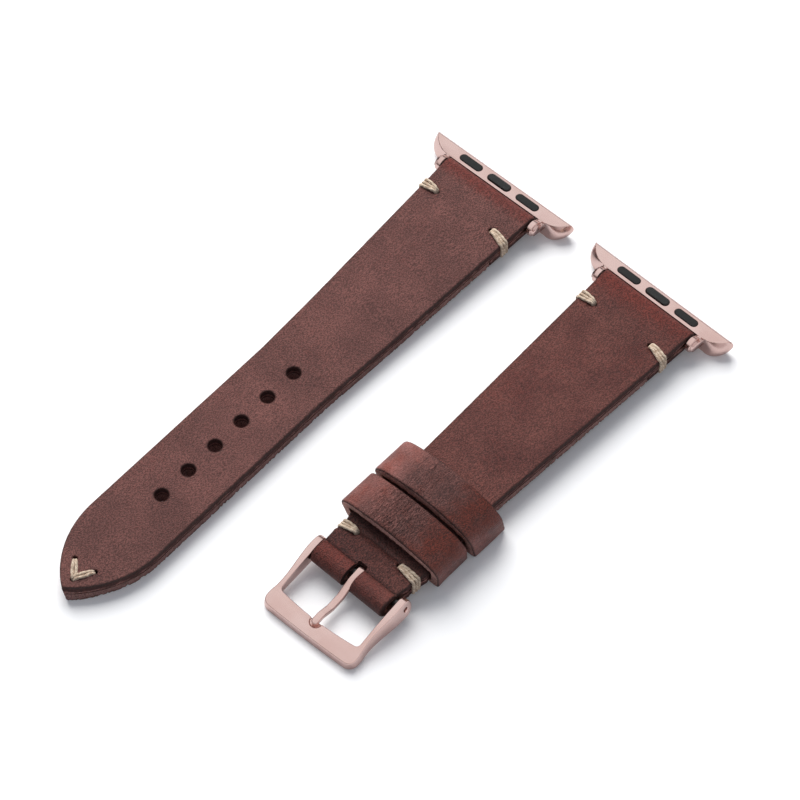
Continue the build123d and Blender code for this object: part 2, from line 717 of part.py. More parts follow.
def frame_side():
    """Side view of the buckle frame: round tall ears that thin down to the plate."""
    ear_top = (0, FRAME_EAR_RADIUS)
    ear_back = (FRAME_EAR_RADIUS, 0)
    ear_bottom = (0, -FRAME_EAR_RADIUS)
    plate_top = (-FRAME_WINDOW_REACH, FRAME_PLATE_TOP)
    front_top = (-FRAME_REACH - OVERRUN, FRAME_PLATE_TOP - FRAME_PLATE_DROP)
    front_bottom = (-FRAME_REACH - OVERRUN, -FRAME_PLATE_BOTTOM)
    plate_bottom = (-FRAME_WINDOW_REACH, -FRAME_PLATE_BOTTOM)
    profile = make_face([
        *ThreePointArc(ear_top, ear_back, ear_bottom).edges(),
        *Polyline(ear_bottom, plate_bottom, front_bottom, front_top, plate_top).edges(),
        *TangentArc(ear_top, plate_top, tangent=(-1, 0)).edges(),
    ])
    return profile


def notch_floor():
    """Height of the notch's floor above the bar's axis."""
    return FRAME_PLATE_TOP - NOTCH_DEPTH


def buckle_frame():
    """Buckle frame with a through hole in each ear and a notch for the tongue."""
    height = 2 * FRAME_EAR_RADIUS
    flared = Pos(0, 0, -FRAME_EAR_RADIUS) * extrude(frame_outline(), amount=height, taper=FRAME_TAPER)
    frame = flared & prism_along_y(frame_side(), BAR_SPAN_AT_BUCKLE * 2)
    frame -= extrude(frame_window(), amount=height, both=True)
    half = BAR_SPAN_AT_BUCKLE
    frame -= rod(BAR_PIVOT_RADIUS + BAR_FIT, -half, half)
    notch = extrude(
        Circle(NOTCH_RADIUS) + rectangle_between(0, NOTCH_DISTANCE / 2, -NOTCH_RADIUS, NOTCH_RADIUS),
        amount=FRAME_EAR_RADIUS,
    )
    return frame - Pos(-NOTCH_DISTANCE, 0, notch_floor()) * notch


def tongue_path():
    """Centre line of the tongue: off the top of its eye, down to a sag, and up to the notch."""
    top = TONGUE_EYE_RADIUS - TONGUE_THICKNESS / 2
    seat = notch_floor() + TONGUE_SEAT_GAP + TONGUE_THICKNESS / 2
    heights = (top, -TONGUE_SAG, -TONGUE_SAG, seat)
    knees = [(-NOTCH_DISTANCE * share, height) for share, height in zip(TONGUE_KNEE_SHARES, heights)]
    return FilletPolyline((0, top), *knees, (-NOTCH_DISTANCE, seat), radius=TONGUE_BEND)


def buckle_tongue():
    """Tongue with an eye round the bar, bent so that its tip lies in the notch."""
    profile = trace(tongue_path(), line_width=TONGUE_THICKNESS)
    seat = notch_floor() + TONGUE_SEAT_GAP + TONGUE_THICKNESS / 2
    profile += rectangle_between(
        -NOTCH_DISTANCE - TONGUE_WIDTH / 2, -NOTCH_DISTANCE,
        seat - TONGUE_THICKNESS / 2, seat + TONGUE_THICKNESS / 2,
    )
    profile += Circle(TONGUE_EYE_RADIUS)
    profile -= Circle(BAR_TUBE_RADIUS + BAR_FIT)
    tongue = prism_along_y(profile, TONGUE_WIDTH)
    half = TONGUE_WIDTH / 2
    plan = Pos(-NOTCH_DISTANCE, 0) * Circle(half)
    plan += rectangle_between(-NOTCH_DISTANCE, TONGUE_EYE_RADIUS, -half, half)
    return tongue & extrude(plan, amount=TONGUE_EYE_RADIUS * 2, both=True)


# Resting layout

def short_place():
    """Where the short half lies, level on its adapter and its floating keeper."""
    return Pos(SHORT_END_OFFSET, -HALF_SPACING, ADAPTER_DROP) * Rot(0, 0, SHORT_TURN)


def buckle_bar_place():
    """Where the buckle bar lies in its loose loop, in the short half's frame."""
    return Pos(-SHORT_BAR_DISTANCE, BUCKLE_OFFSET, ROLL_RADIUS) * Rot(0, 0, BUCKLE_TURN)


def buckle_droop():
    """Angle below the strap at which the hanging frame's front edge meets the table."""
    reach = math.hypot(FRAME_REACH, FRAME_PLATE_BOTTOM)
    front_angle = math.atan2(FRAME_PLATE_BOTTOM, FRAME_REACH)
    return math.degrees(math.asin((ADAPTER_DROP + ROLL_RADIUS) / reach) - front_angle)


def buckle_place():
    """Where the buckle frame hangs in the short half's frame."""
    return buckle_bar_place() * Rot(0, -buckle_droop(), 0)


def lug_bar_place():
    """Axis of a lug bar in either half's frame."""
    return Pos(-ROLL_RADIUS, 0, ROLL_RADIUS)


def lug_rise_angle():
    """Angle at which the long half's end rises to the height of its bar."""
    return math.degrees(math.asin(ADAPTER_DROP / (LUG_BEND_DISTANCE - ROLL_RADIUS)))


def lug_rise():
    """Move that bends the long half's end up from its flat tail."""
    bend = Pos(-LUG_BEND_DISTANCE, 0, 0)
    return bend * Rot(0, -lug_rise_angle(), 0) * bend.inverse()


def long_adapter_place():
    """Move that brings the long half's adapter to its bar, level on the table."""
    bar = lug_bar_place()
    return lug_rise() * bar * Rot(0, lug_rise_angle(), 0) * bar.inverse()


def short_half():
    """Every piece of the short half in its own frame, by node name."""
    lug_stitches = [lug_stitch(side, BUCKLE_END_WIDTH, SHORT_TAPER) for side in (1, -1)]
    buckle_stitches = [buckle_stitch(side) for side in (1, -1)]
    stitches = lug_stitches + buckle_stitches
    return {
        "short_top_leather": short_top_ply(stitches),
        "short_lining_leather": short_lining_ply(stitches),
        "short_lug_stitch_left": lug_stitches[0],
        "short_lug_stitch_right": lug_stitches[1],
        "buckle_stitch_left": buckle_stitches[0],
        "buckle_stitch_right": buckle_stitches[1],
        "fixed_keeper": keeper(FIXED_KEEPER_START, 0, FIXED_KEEPER_ARCH),
        "floating_keeper": keeper(FLOATING_KEEPER_START, KEEPER_FIT, FLOATING_KEEPER_ARCH),
        "buckle_frame": buckle_place() * buckle_frame(),
        "buckle_tongue": buckle_place() * buckle_tongue(),
        **spring_bar("buckle_bar", BAR_SPAN_AT_BUCKLE, buckle_bar_place()),
        **spring_bar("short_lug_bar", BAR_SPAN_AT_LUG, lug_bar_place()),
        **adapter("short"),
    }


def long_half():
    """Every piece of the long half in its own frame, by node name."""
    stitches = [lug_stitch(side, TAIL_WIDTH, LONG_TAPER) for side in (1, -1)]
    rising = {
        "long_lug_stitch_left": stitches[0],
        "long_lug_stitch_right": stitches[1],
        **spring_bar("long_lug_bar", BAR_SPAN_AT_LUG, lug_bar_place()),
    }
    return {
        "long_top_leather": long_top_ply(stitches),
        "long_lining_leather": long_lining_ply(stitches),
        "tip_stitch": tip_stitch(),
        **moved(lug_rise(), rising),
        **moved(long_adapter_place(), adapter("long")),
    }


def laid_out():
    """Both halves side by side on the table, by node name."""
    return {**moved(short_place(), short_half()), **long_half()}


def base_shift(pieces):
    """Move that puts the middle of the whole strap's underside at the origin."""
    boxes = [piece.bounding_box() for piece in pieces.values()]
    middle_x = (min(box.min.X for box in boxes) + max(box.max.X for box in boxes)) / 2
    middle_y = (min(box.min.Y for box in boxes) + max(box.max.Y for box in boxes)) / 2
    return Pos(-middle_x, -middle_y, -min(box.min.Z for box in boxes))


PIECES = laid_out()
SHIFT = base_shift(PIECES)

os.makedirs("parts", exist_ok=True)
for node, piece in PIECES.items():
    export_step(SHIFT * piece, f"parts/{node}.step")
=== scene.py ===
"""Two-piece leather watch strap with a pin buckle, two keepers and a slide-in adapter on each half.

Each half is drawn as a saddler cuts it: flat, in millimetres, with X running to its adapter, Y to its
left and Z up from the underside. Its own place then folds it, turns it and brings it to metres.
"""
import json
import math
from collections import namedtuple

import bmesh
import bpy
from mathutils import Matrix, Vector, noise

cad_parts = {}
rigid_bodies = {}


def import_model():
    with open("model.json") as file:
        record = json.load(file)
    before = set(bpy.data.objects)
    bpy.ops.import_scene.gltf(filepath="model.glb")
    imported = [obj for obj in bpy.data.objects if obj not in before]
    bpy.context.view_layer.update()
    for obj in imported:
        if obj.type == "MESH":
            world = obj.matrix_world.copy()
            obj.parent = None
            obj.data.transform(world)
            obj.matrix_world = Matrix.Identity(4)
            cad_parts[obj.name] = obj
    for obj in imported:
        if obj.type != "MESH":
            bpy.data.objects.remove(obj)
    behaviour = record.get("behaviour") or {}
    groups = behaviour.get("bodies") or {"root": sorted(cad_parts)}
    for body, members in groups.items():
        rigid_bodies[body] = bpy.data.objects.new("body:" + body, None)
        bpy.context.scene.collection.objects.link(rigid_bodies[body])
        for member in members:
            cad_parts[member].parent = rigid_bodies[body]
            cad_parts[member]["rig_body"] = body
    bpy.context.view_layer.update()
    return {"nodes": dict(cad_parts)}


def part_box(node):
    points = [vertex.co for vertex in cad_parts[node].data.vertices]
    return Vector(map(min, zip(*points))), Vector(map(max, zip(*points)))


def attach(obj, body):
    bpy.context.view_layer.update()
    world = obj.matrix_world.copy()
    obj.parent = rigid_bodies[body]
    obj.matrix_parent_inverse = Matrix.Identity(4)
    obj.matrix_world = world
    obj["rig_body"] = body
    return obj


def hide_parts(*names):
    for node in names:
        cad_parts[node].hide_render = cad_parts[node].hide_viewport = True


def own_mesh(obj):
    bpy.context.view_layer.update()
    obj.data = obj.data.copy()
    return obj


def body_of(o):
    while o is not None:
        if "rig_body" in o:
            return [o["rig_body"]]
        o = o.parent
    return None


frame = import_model()
MM = 0.001


# Table and studio: a white table under one broad soft lamp on the left, and pale walls all round.
# The camera looks down at 57 degrees with a long lens, as the photograph was taken. In reflections
# alone, all walls but the right one have a dark band, and the table is dimmer.

VIEW_POINT = Vector((12.14, 2.89, 0)) * MM
VIEW_ELEVATION = math.radians(57)
VIEW_AZIMUTH = math.radians(-48.3)
VIEW_DISTANCE = 818.7 * MM
LENS = 180
SENSOR_WIDTH = 36
NEAREST = 0.01
TABLE_SIZE = 6
TABLE_DROP = 0.02 * MM
LAMP_HEADING = Vector((0.45, 0.62, 0.75)).normalized()
LAMP_DISTANCE = 1.1
LAMP_SIZE = 0.95
LAMP_POWER = 21.3
LAMP_TINT = (1.0, 0.99, 0.975)
LAMP_MIRRORED = (0.93, 0.93, 0.93, 1)
LAMP_PATCH = (0.8, 0.93)
WALL_LIGHT = 0.35
WALL_TINT = "eaf1ff"
RIGHT_SIDE = (0.3, 0.7)
TABLE_COLOUR = (0.9, 0.9, 0.9, 1)
TABLE_GLOW = 0.07
TABLE_MIRROR_SHARE = 0.32

level = math.cos(VIEW_ELEVATION)
back = Vector((
    math.sin(VIEW_AZIMUTH) * level, -math.cos(VIEW_AZIMUTH) * level, math.sin(VIEW_ELEVATION)
))


def add_object(name, data):
    """Object made of its data and put in the scene."""
    made = bpy.data.objects.new(name, data)
    bpy.context.scene.collection.objects.link(made)
    return made


camera = add_object("camera", bpy.data.cameras.new("camera"))
camera.data.lens = LENS
camera.data.sensor_width = SENSOR_WIDTH
camera.data.clip_start = NEAREST
camera.location = VIEW_POINT + back * VIEW_DISTANCE
camera.rotation_mode = "QUATERNION"
camera.rotation_quaternion = back.to_track_quat("Z", "Y")
bpy.context.scene.camera = camera
bpy.context.scene.view_settings.view_transform = "Standard"

lamp = add_object("soft_lamp", bpy.data.lights.new("soft_lamp", "AREA"))
lamp.data.size = LAMP_SIZE
lamp.data.energy = LAMP_POWER
lamp.data.color = LAMP_TINT
lamp.location = LAMP_HEADING * LAMP_DISTANCE
lamp.rotation_mode = "QUATERNION"
lamp.rotation_quaternion = LAMP_HEADING.to_track_quat("Z", "Y")
lamp.visible_glossy = False


class Term:
    """A number, colour or direction that varies over a surface. Sums of terms add Math nodes."""

    def __init__(self, finish, socket):
        self.finish = finish
        self.socket = socket

    def sum(self, operation, first, second):
        return self.finish.node("ShaderNodeMath", {"operation": operation}, {0: first, 1: second})

    def __add__(self, other):
        return self.sum("ADD", self, other)

    def __radd__(self, other):
        return self.sum("ADD", other, self)

    def __sub__(self, other):
        return self.sum("SUBTRACT", self, other)

    def __mul__(self, other):
        return self.sum("MULTIPLY", self, other)


class Finish:
    """The node tree of a material or of the studio's walls."""

    def __init__(self, owner):
        self.owner = owner
        owner.use_nodes = True
        self.tree = owner.node_tree

    def node(self, kind, settings=None, sockets=None, output=0):
        """Adds a node, sets it, feeds its sockets with values or terms, and gives one output."""
        made = self.tree.nodes.new(kind)
        for name, value in (settings or {}).items():
            if name == "stops":
                self.set_stops(made.color_ramp, value)
            else:
                setattr(made, name, value)
        self.feed(made, sockets or {})
        return Term(self, made.outputs[output])

    def set_stops(self, ramp, stops):
        while len(ramp.elements) < len(stops):
            ramp.elements.new(1)
        for element, (position, colour) in zip(ramp.elements, stops):
            element.position = position
            element.color = colour

    def feed(self, node, sockets):
        for name, value in sockets.items():
            if isinstance(value, Term):
                self.tree.links.new(value.socket, node.inputs[name])
            else:
                node.inputs[name].default_value = value

    def mix(self, share, first, second, blend="MIX"):
        """Colour between two colours, or another blend of them."""
        return self.node(
            "ShaderNodeMix", {"data_type": "RGBA", "blend_type": blend},
            {0: share, 6: first, 7: second}, output=2,
        )

    def fade(self, value, start, end):
        """0 before start, 1 past end, and smooth between them."""
        return self.node(
            "ShaderNodeMapRange", {"interpolation_type": "SMOOTHSTEP"},
            {"Value": value, "From Min": start, "From Max": end},
        )

    def shaded(self, colour, light):
        """Colour made lighter or darker by a factor."""
        return self.mix(1, colour, light, "MULTIPLY")

    def seen(self):
        """1 for rays from the camera, from a mirror or through glass."""
        found = 0
        for ray in ("Is Camera Ray", "Is Glossy Ray", "Is Transmission Ray"):
            found = self.node("ShaderNodeLightPath", output=ray) + found
        return self.node("ShaderNodeClamp", sockets={"Value": found})


class Surface(Finish):
    """A material on the principled shader, with its values set first."""

    def __init__(self, name, **values):
        super().__init__(bpy.data.materials.new(name))
        self.shader = self.tree.nodes["Principled BSDF"]
        self.wear(**values)
        self.where = self.node("ShaderNodeTexCoord", output="Object")

    def cloud(self, grain_size, detail=3, stretch=None):
        """Noise whose lumps are about one grain size across, drawn out along stretched axes."""
        where = self.where
        if stretch:
            where = self.node("ShaderNodeMapping", {}, {
                "Vector": where, "Rotation": stretch[0], "Scale": stretch[1],
            })
        return self.node("ShaderNodeTexNoise", {}, {
            "Vector": where, "Scale": 1 / grain_size, "Detail": detail,
        })

    def attribute(self, name):
        return self.node("ShaderNodeAttribute", {"attribute_name": name}, output="Fac")

    def bump(self, height, depth, under=None):
        """Relief of that depth, over another relief if one is given."""
        sockets = {"Height": height, "Distance": depth, "Strength": 1}
        if under:
            sockets["Normal"] = under
        return self.node("ShaderNodeBump", {}, sockets)

    def wear(self, **terms):
        """Feeds values or terms to the shader, and gives the material."""
        self.feed(self.shader, {name.replace("_", " "): term for name, term in terms.items()})
        return self.owner


def paint(code):
    """Linear colour of a paint sample written in six hex digits."""
    samples = [int(code[index:index + 2], 16) / 255 for index in (0, 2, 4)]
    linear = [sample / 12.92 if sample < 0.04 else ((sample + 0.055) / 1.055) ** 2.4 for sample in samples]
    return (*linear, 1)


walls = Finish(bpy.data.worlds.new("studio"))
bpy.context.scene.world = walls.owner
light = walls.tree.nodes["Background"]
walls.feed(light, {"Color": paint(WALL_TINT), "Strength": WALL_LIGHT})
heading = walls.node("ShaderNodeTexCoord", output="Generated")
across, lift = (walls.node("ShaderNodeSeparateXYZ", {}, {0: heading}, output=axis) for axis in (1, 2))
right_wall = walls.node("ShaderNodeValToRGB", {"stops": [
    (0.0, paint("c4bcbc")), (0.3, paint("cfc8c8")), (0.8, paint("f2f0f0")),
]}, {0: lift})
dark_band = walls.node("ShaderNodeValToRGB", {"stops": [
    (0.0, paint("a89c9b")), (0.12, paint("6e5d5a")), (0.32, paint("5c4c49")), (0.42, paint("d6d3d3")),
    (0.8, paint("f2f0f0")),
]}, {0: lift})
shade = walls.mix(walls.fade(across * -1, *RIGHT_SIDE), dark_band, right_wall)
beside_lamp = walls.node(
    "ShaderNodeVectorMath", {"operation": "DOT_PRODUCT"}, {0: heading, 1: LAMP_HEADING}, output="Value"
)
shade = walls.mix(walls.fade(beside_lamp, *LAMP_PATCH), shade, LAMP_MIRRORED)
straight = walls.node("ShaderNodeLightPath", output="Is Camera Ray")
mirror = walls.node("ShaderNodeBackground", {}, {
    "Color": walls.mix(straight, shade, paint("ffffff")), "Strength": 1,
})
both = walls.node("ShaderNodeMixShader", {}, {
    0: walls.seen(), 1: Term(walls, light.outputs[0]), 2: mirror,
})
walls.feed(walls.tree.nodes["World Output"], {"Surface": both})

table_mesh = bmesh.new()
bmesh.ops.create_grid(table_mesh, x_segments=4, y_segments=4, size=TABLE_SIZE / 2)
bmesh.ops.translate(table_mesh, verts=table_mesh.verts, vec=(0, 0, -TABLE_DROP))
table_data = bpy.data.meshes.new("white_table")
table_mesh.to_mesh(table_data)
table = add_object("white_table", table_data)
table_top = Surface("white_table", Roughness=0.9)
table_top.shader.inputs["Specular IOR Level"].default_value = 0
table_top.shader.inputs["Base Color"].default_value = TABLE_COLOUR
glow = table_top.node("ShaderNodeEmission", {}, {
    "Color": (1, 1, 1, 1), "Strength": table_top.seen() * TABLE_GLOW,
})
lit = table_top.node("ShaderNodeAddShader", {}, {0: Term(table_top, table_top.shader.outputs[0]), 1: glow})
mirrored = table_top.node("ShaderNodeLightPath", output="Is Glossy Ray")
dim = table_top.node("ShaderNodeEmission", {}, {"Color": paint("6b5a58")})
table_top.feed(table_top.tree.nodes["Material Output"], {"Surface": table_top.node(
    "ShaderNodeMixShader", {}, {0: mirrored * TABLE_MIRROR_SHARE, 1: lit, 2: dim},
)})
table_data.materials.append(table_top.owner)


# Long half: vegetable-tanned leather in two plies, the upper one folded round the lug bar and
# glued back under itself. It is cut to a taper with a pointed tip and punched with six holes.

LONG_LENGTH = 130.3
LUG_WIDTH = 23.8
TAIL_WIDTH = 18.4
LONG_TAPER = 62.0
TIP_LENGTH = 18.0
TIP_ROUND = 0.9
TIP_SKEW = 1.1
TIP_SKEW_REACH = 7.0
TIP_APEX = (3.15 - LONG_LENGTH, -0.4)
TIP_ENDS = ((6.4 - LONG_LENGTH, 2.45), (6.8 - LONG_LENGTH, -2.35))
TIP_HOLE_LEAD = 0.3
TIP_HOLE_BACK = 0.25
TIP_HOLE_SPREAD = 1.08
TIP_PLACES = [(TIP_APEX[0] - TIP_HOLE_LEAD, TIP_APEX[1])] + [
    (x + TIP_HOLE_BACK, y * TIP_HOLE_SPREAD) for x, y in TIP_ENDS
]
PLY = 2.0
THICKNESS = 2 * PLY
BAR_HEIGHT = 2.0
BEND_DISTANCE = 45.0
BEND_EASE = 6.0
BEND_LIFT = 1.6
BEND_LENGTH = 43.0
BEND_RISE = math.asin(BEND_LIFT / BEND_LENGTH)
FLAP = 12.0
LUG_GAP = 2.2
HOLE_COUNT = 6
HOLE_RADIUS = 1.5
HOLE_PITCH = 7.83
FIRST_HOLE = 62.4
HOLE_RIM = 0.22
HOLE_RIM_SHARE = 0.3
HOLE_SHUT = 0.9
AWL_RADIUS = 0.5
AWL_DEPTH = 1.6
AWL_RIM = 0.2
AWL_FLARE = 0.15
AWL_LEAD = 0.4
CUT_PAST = 1.0
WELD = 0.002
FINE_WELD = 0.001
STEEP = 0.35
LOOP_LEAST = 0.08
LOOP_FADE = 1.0
DENT_LENGTH = 0.8
DENT_WIDTH = 0.55
DENT_DEPTH = 0.75
GROOVE_WIDTH = 1.25
GROOVE_REACH = 2.2
GROOVE_DEPTH = 0.16
EDGE_PROBE = 1.0
EDGE_DENT = 0.3
ON_EDGE = 0.01
GRAIN_SIDE_SHARE = 0.98
RIM_ROUND = 0.42
RIM_FADE = 0.75
SEAM_DEPTH = 0.14
SEAM_SHARE = 0.15
STITCH_DISTANCE = 9.1
# Side, inset, lean and spread of the stitches by an adapter
LUG_STITCHES = ((1, 3.4, 0.1, 1.25), (-1, 3.9, 0.9, 1.0))
# Size and amount of each unevenness
GRAIN_WAVE = (7, 0.05)
EDGE_RIPPLE = (0.9, 0.07)
EDGE_WAVE = (5, 0.06)
LINING_FIBRES = (0.4, 0.42)
LINING_TUFTS = (0.5, 1.0)
LINING_SAG = (2.5, 0.14)
LINING_WAVE = 1.7
LINING_WAVE_DEPTH = 0.16
LINING_MARGIN = 0.3
# Middle and width of a rubbed band
LONG_FOLD_RUB = (-1.5, 3.0)
# Sizes in the leather's finishes
GRAIN_CLOUD = 8 * MM
GRAIN_MOTTLE = 1.4 * MM
GRAIN_SPECKLE = 0.27 * MM
GRAIN_PULL = 0.55 * MM
GRAIN_DEPTH = 0.3 * MM
PEBBLE = 0.4 * MM
WRINKLE_GAP = 0.8 * MM
EDGE_WANDER = 1.8 * MM
EDGE_FIBRE = 0.26 * MM
EDGE_SPECK = 0.13 * MM
TOP_FUZZ = 0.2 * MM
LINING_FUZZ = 0.28 * MM
FLESH_CLOUD = 6 * MM
NAP = 0.35 * MM
NAP_DEPTH = 0.08 * MM

Fold = namedtuple("Fold", "line heading radius flat loop loop_flat loop_lead void_lead")
LUG_FOLD = Fold(-2.0, 1, 2.0, 0.0, 0.96, 0.0, 0.0, 3.15)
Stitch = namedtuple("Stitch", "x side edge inset lean spread")

tail_low, tail_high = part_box("long_lining_leather")
LONG_PLACE = Matrix.Translation((
    tail_low.x + LONG_LENGTH * MM, (tail_low.y + tail_high.y) / 2, tail_low.z,
)) @ Matrix.Scale(MM, 4)


def ripple(point, size, amount):
    """Small unevenness of hand-cut leather, at a point in millimetres."""
    return noise.noise(Vector(point) / size) * amount


def bell(place, middle, width):
    """1 at the middle, and next to nothing two widths away."""
    return math.exp(-((place - middle) / width) ** 2)


def clamp(value):
    """Value held between 0 and 1."""
    return min(max(value, 0), 1)


def long_half_width(x):
    """Half the long half's width at a place along it."""
    share = clamp(-x / LONG_TAPER)
    width = (LUG_WIDTH + (TAIL_WIDTH - LUG_WIDTH) * share) / 2
    past = TIP_LENGTH - LONG_LENGTH - x
    if past > 0:
        radius = (TIP_LENGTH ** 2 + width ** 2) / (2 * width)
        width += math.sqrt(max(radius ** 2 - past ** 2, 0)) - radius
    left = x + LONG_LENGTH
    if left < TIP_ROUND:
        width *= math.sqrt(max(1 - (1 - left / TIP_ROUND) ** 2, 0))
    return max(width, 0)


def upright(mesh, least):
    """Edges that rise by more than a least height."""
    return [edge for edge in mesh.edges if abs(edge.verts[0].co.z - edge.verts[1].co.z) > least]


def close_up(mesh, reach):
    """Joins points that lie together, and turns every face outwards."""
    bmesh.ops.remove_doubles(mesh, verts=mesh.verts, dist=reach)
    bmesh.ops.recalc_face_normals(mesh, faces=mesh.faces)


def cut_sheet(start, end, low, high, half_width, columns, rows=44, layers=5):
    """Flat sheet cut to an outline, with rows closer together near its edges."""
    sheet = bmesh.new()
    bmesh.ops.create_grid(sheet, x_segments=columns, y_segments=rows, size=1)
    for vert in sheet.verts:
        x = start + (end - start) * (vert.co.x + 1) / 2
        vert.co = (x, math.sin(vert.co.y * math.pi / 2) * half_width(x), low)
    raised = bmesh.ops.extrude_face_region(sheet, geom=sheet.faces[:])
    upper = [part for part in raised["geom"] if isinstance(part, bmesh.types.BMVert)]
    bmesh.ops.translate(sheet, verts=upper, vec=(0, 0, high - low))
    bmesh.ops.subdivide_edges(sheet, edges=upright(sheet, (high - low) / 2), cuts=layers - 1)
    close_up(sheet, WELD)
    return sheet


def as_object(name, mesh):
    """Object made of a finished mesh, which is used up."""
    data = bpy.data.meshes.new(name)
    mesh.to_mesh(data)
    mesh.free()
    return add_object(name, data)


def cut_away(sheet, tool):
    """Sheet with a tool's shape cut out of it. Both are used up."""
    work, cutter = as_object("sheet", sheet), as_object("cutter", tool)
    cut = work.modifiers.new("cut", "BOOLEAN")
    cut.object = cutter
    cut.solver = "EXACT"
    result = bmesh.new()
    evaluated = work.evaluated_get(bpy.context.evaluated_depsgraph_get())
    result.from_mesh(bpy.data.meshes.new_from_object(evaluated))
    for used in (work, cutter):
        bpy.data.objects.remove(used)
    return result


def punch(places, profile):
    """Round punches that stand at their places and share one turned profile."""
    tool = bmesh.new()
    for x, y in places:
        verts = [tool.verts.new((x + reach, y, height)) for reach, height in profile]
        edges = [tool.edges.new(pair) for pair in zip(verts, verts[1:])]
        bmesh.ops.spin(
            tool, geom=verts + edges, cent=(x, y, 0), axis=(0, 0, 1), angle=2 * math.pi, steps=40,
            use_merge=True,
        )
    close_up(tool, FINE_WELD)
    return tool


HOLES = [(-FIRST_HOLE - index * HOLE_PITCH, 0) for index in range(HOLE_COUNT)]
TOP_PUNCH = [
    (0, PLY - CUT_PAST), (HOLE_RADIUS, PLY - CUT_PAST), (HOLE_RADIUS, THICKNESS - HOLE_RIM),
    (HOLE_RADIUS + HOLE_RIM * HOLE_RIM_SHARE, THICKNESS - HOLE_RIM * HOLE_RIM_SHARE),
    (HOLE_RADIUS + HOLE_RIM, THICKNESS), (HOLE_RADIUS + HOLE_RIM, THICKNESS + CUT_PAST),
    (0, THICKNESS + CUT_PAST),
]
LINING_PUNCH = [
    (0, -CUT_PAST), (HOLE_SHUT, -CUT_PAST), (HOLE_SHUT, 0), (HOLE_RADIUS, PLY),
    (HOLE_RADIUS, PLY + CUT_PAST), (0, PLY + CUT_PAST),
]
AWL = [
    (0, THICKNESS - AWL_DEPTH), (AWL_RADIUS, THICKNESS - AWL_DEPTH), (AWL_RADIUS, THICKNESS - AWL_RIM),
    (AWL_RADIUS + AWL_FLARE, THICKNESS), (AWL_RADIUS + AWL_FLARE, THICKNESS + CUT_PAST),
    (0, THICKNESS + CUT_PAST),
]


def folded(x, share, fold):
    """Where a place on a folded sheet lies, as X and height: share is 0 inside and 1 outside."""
    past = (x - fold.line) * fold.heading
    half_turn = math.pi * fold.radius
    if past <= fold.flat:
        outer_along = inner_along = past
        if past > 0:
            inner_along = past * fold.loop_flat / fold.flat
        turn = 0
    elif past <= fold.flat + half_turn:
        turn = (past - fold.flat) / fold.radius
        outer_along, inner_along = fold.flat, fold.loop_flat
    else:
        turn = math.pi
        returned = past - fold.flat - half_turn
        outer_along = fold.flat - returned
        inner_along = outer_along + (fold.loop_flat - fold.flat) * max(1 - returned / LOOP_FADE, 0)
    outer = outer_radius(outer_along, fold)
    inner = inner_radius(inner_along, fold)
    if turn > 0:
        inner = max(inner, LOOP_LEAST)
    along = (inner_along + inner * math.sin(turn)) * (1 - share)
    along += (outer_along + outer * math.sin(turn)) * share
    height = (inner + (outer - inner) * share) * math.cos(turn)
    return fold.line + fold.heading * along, BAR_HEIGHT + height


def outer_radius(along, fold):
    """Height of the fold's outside above or below its bar."""
    if along >= 0:
        return fold.radius
    return math.sqrt(max(fold.radius ** 2 - along ** 2, PLY ** 2))


def inner_radius(along, fold):
    """Height of the loop and of the pointed void behind it, above or below the bar."""
    behind = -along - fold.loop_lead
    if behind <= 0:
        return fold.loop
    bore = math.sqrt(max(fold.loop ** 2 - behind ** 2, 0))
    return max(bore, fold.loop * (1 - behind / fold.void_lead), 0)


def risen(x, z):
    """Bends the adapter end of the long half up to the height of its bar."""
    past = x + BEND_DISTANCE
    if past <= -BEND_EASE:
        return x, z
    if past < BEND_EASE:
        slope = BEND_RISE * (past + BEND_EASE) / (2 * BEND_EASE)
        return x - z * slope, z + BEND_RISE * (past + BEND_EASE) ** 2 / (4 * BEND_EASE)
    cosine, sine = math.cos(BEND_RISE), math.sin(BEND_RISE)
    return past * cosine - z * sine - BEND_DISTANCE, past * sine + z * cosine


def pulled_in(x, y, stitches):
    """How far thread has pulled the leather down at a place: a deep hole and a faint groove."""
    depth = 0
    for stitch in stitches:
        inward = stitch.edge - stitch.inset
        across = abs(x - stitch.x)
        beside = stitch.side * y
        hole = math.hypot(across / DENT_LENGTH, (beside - inward) / DENT_WIDTH)
        depth += DENT_DEPTH * bell(hole, 0, 1)
        if across < GROOVE_REACH and beside > inward:
            depth += GROOVE_DEPTH * bell(across, 0, GROOVE_WIDTH)
    return depth


def awl_places(stitches):
    """Where an awl has pierced the leather, just inside each stitch's inner end."""
    return [(stitch.x, stitch.side * (stitch.edge - stitch.inset - AWL_LEAD)) for stitch in stitches]


def near_holes(x, y):
    """Distance from the rim of the nearest adjustment hole."""
    index = min(max(round((-x - FIRST_HOLE) / HOLE_PITCH), 0), HOLE_COUNT - 1)
    centre = -FIRST_HOLE - index * HOLE_PITCH
    return math.hypot(x - centre, y) - HOLE_RADIUS


def marked(sheet):
    """Gives grain, cut edge and flesh their own finish, by the way each face looks. Returns layers for what
    the finishes read at each vertex: closeness to a rim, which also carries painted shade in creases and
    grooves, height, redness, and a tone that also carries painted highlights, shade and reflections."""
    layers = [sheet.verts.layers.float.new(name) for name in ("rim", "height", "rubbed", "pale")]
    sheet.normal_update()
    for face in sheet.faces:
        if abs(face.normal.z) < STEEP:
            face.material_index = 1
        elif face.normal.z < 0:
            face.material_index = 2
    return layers


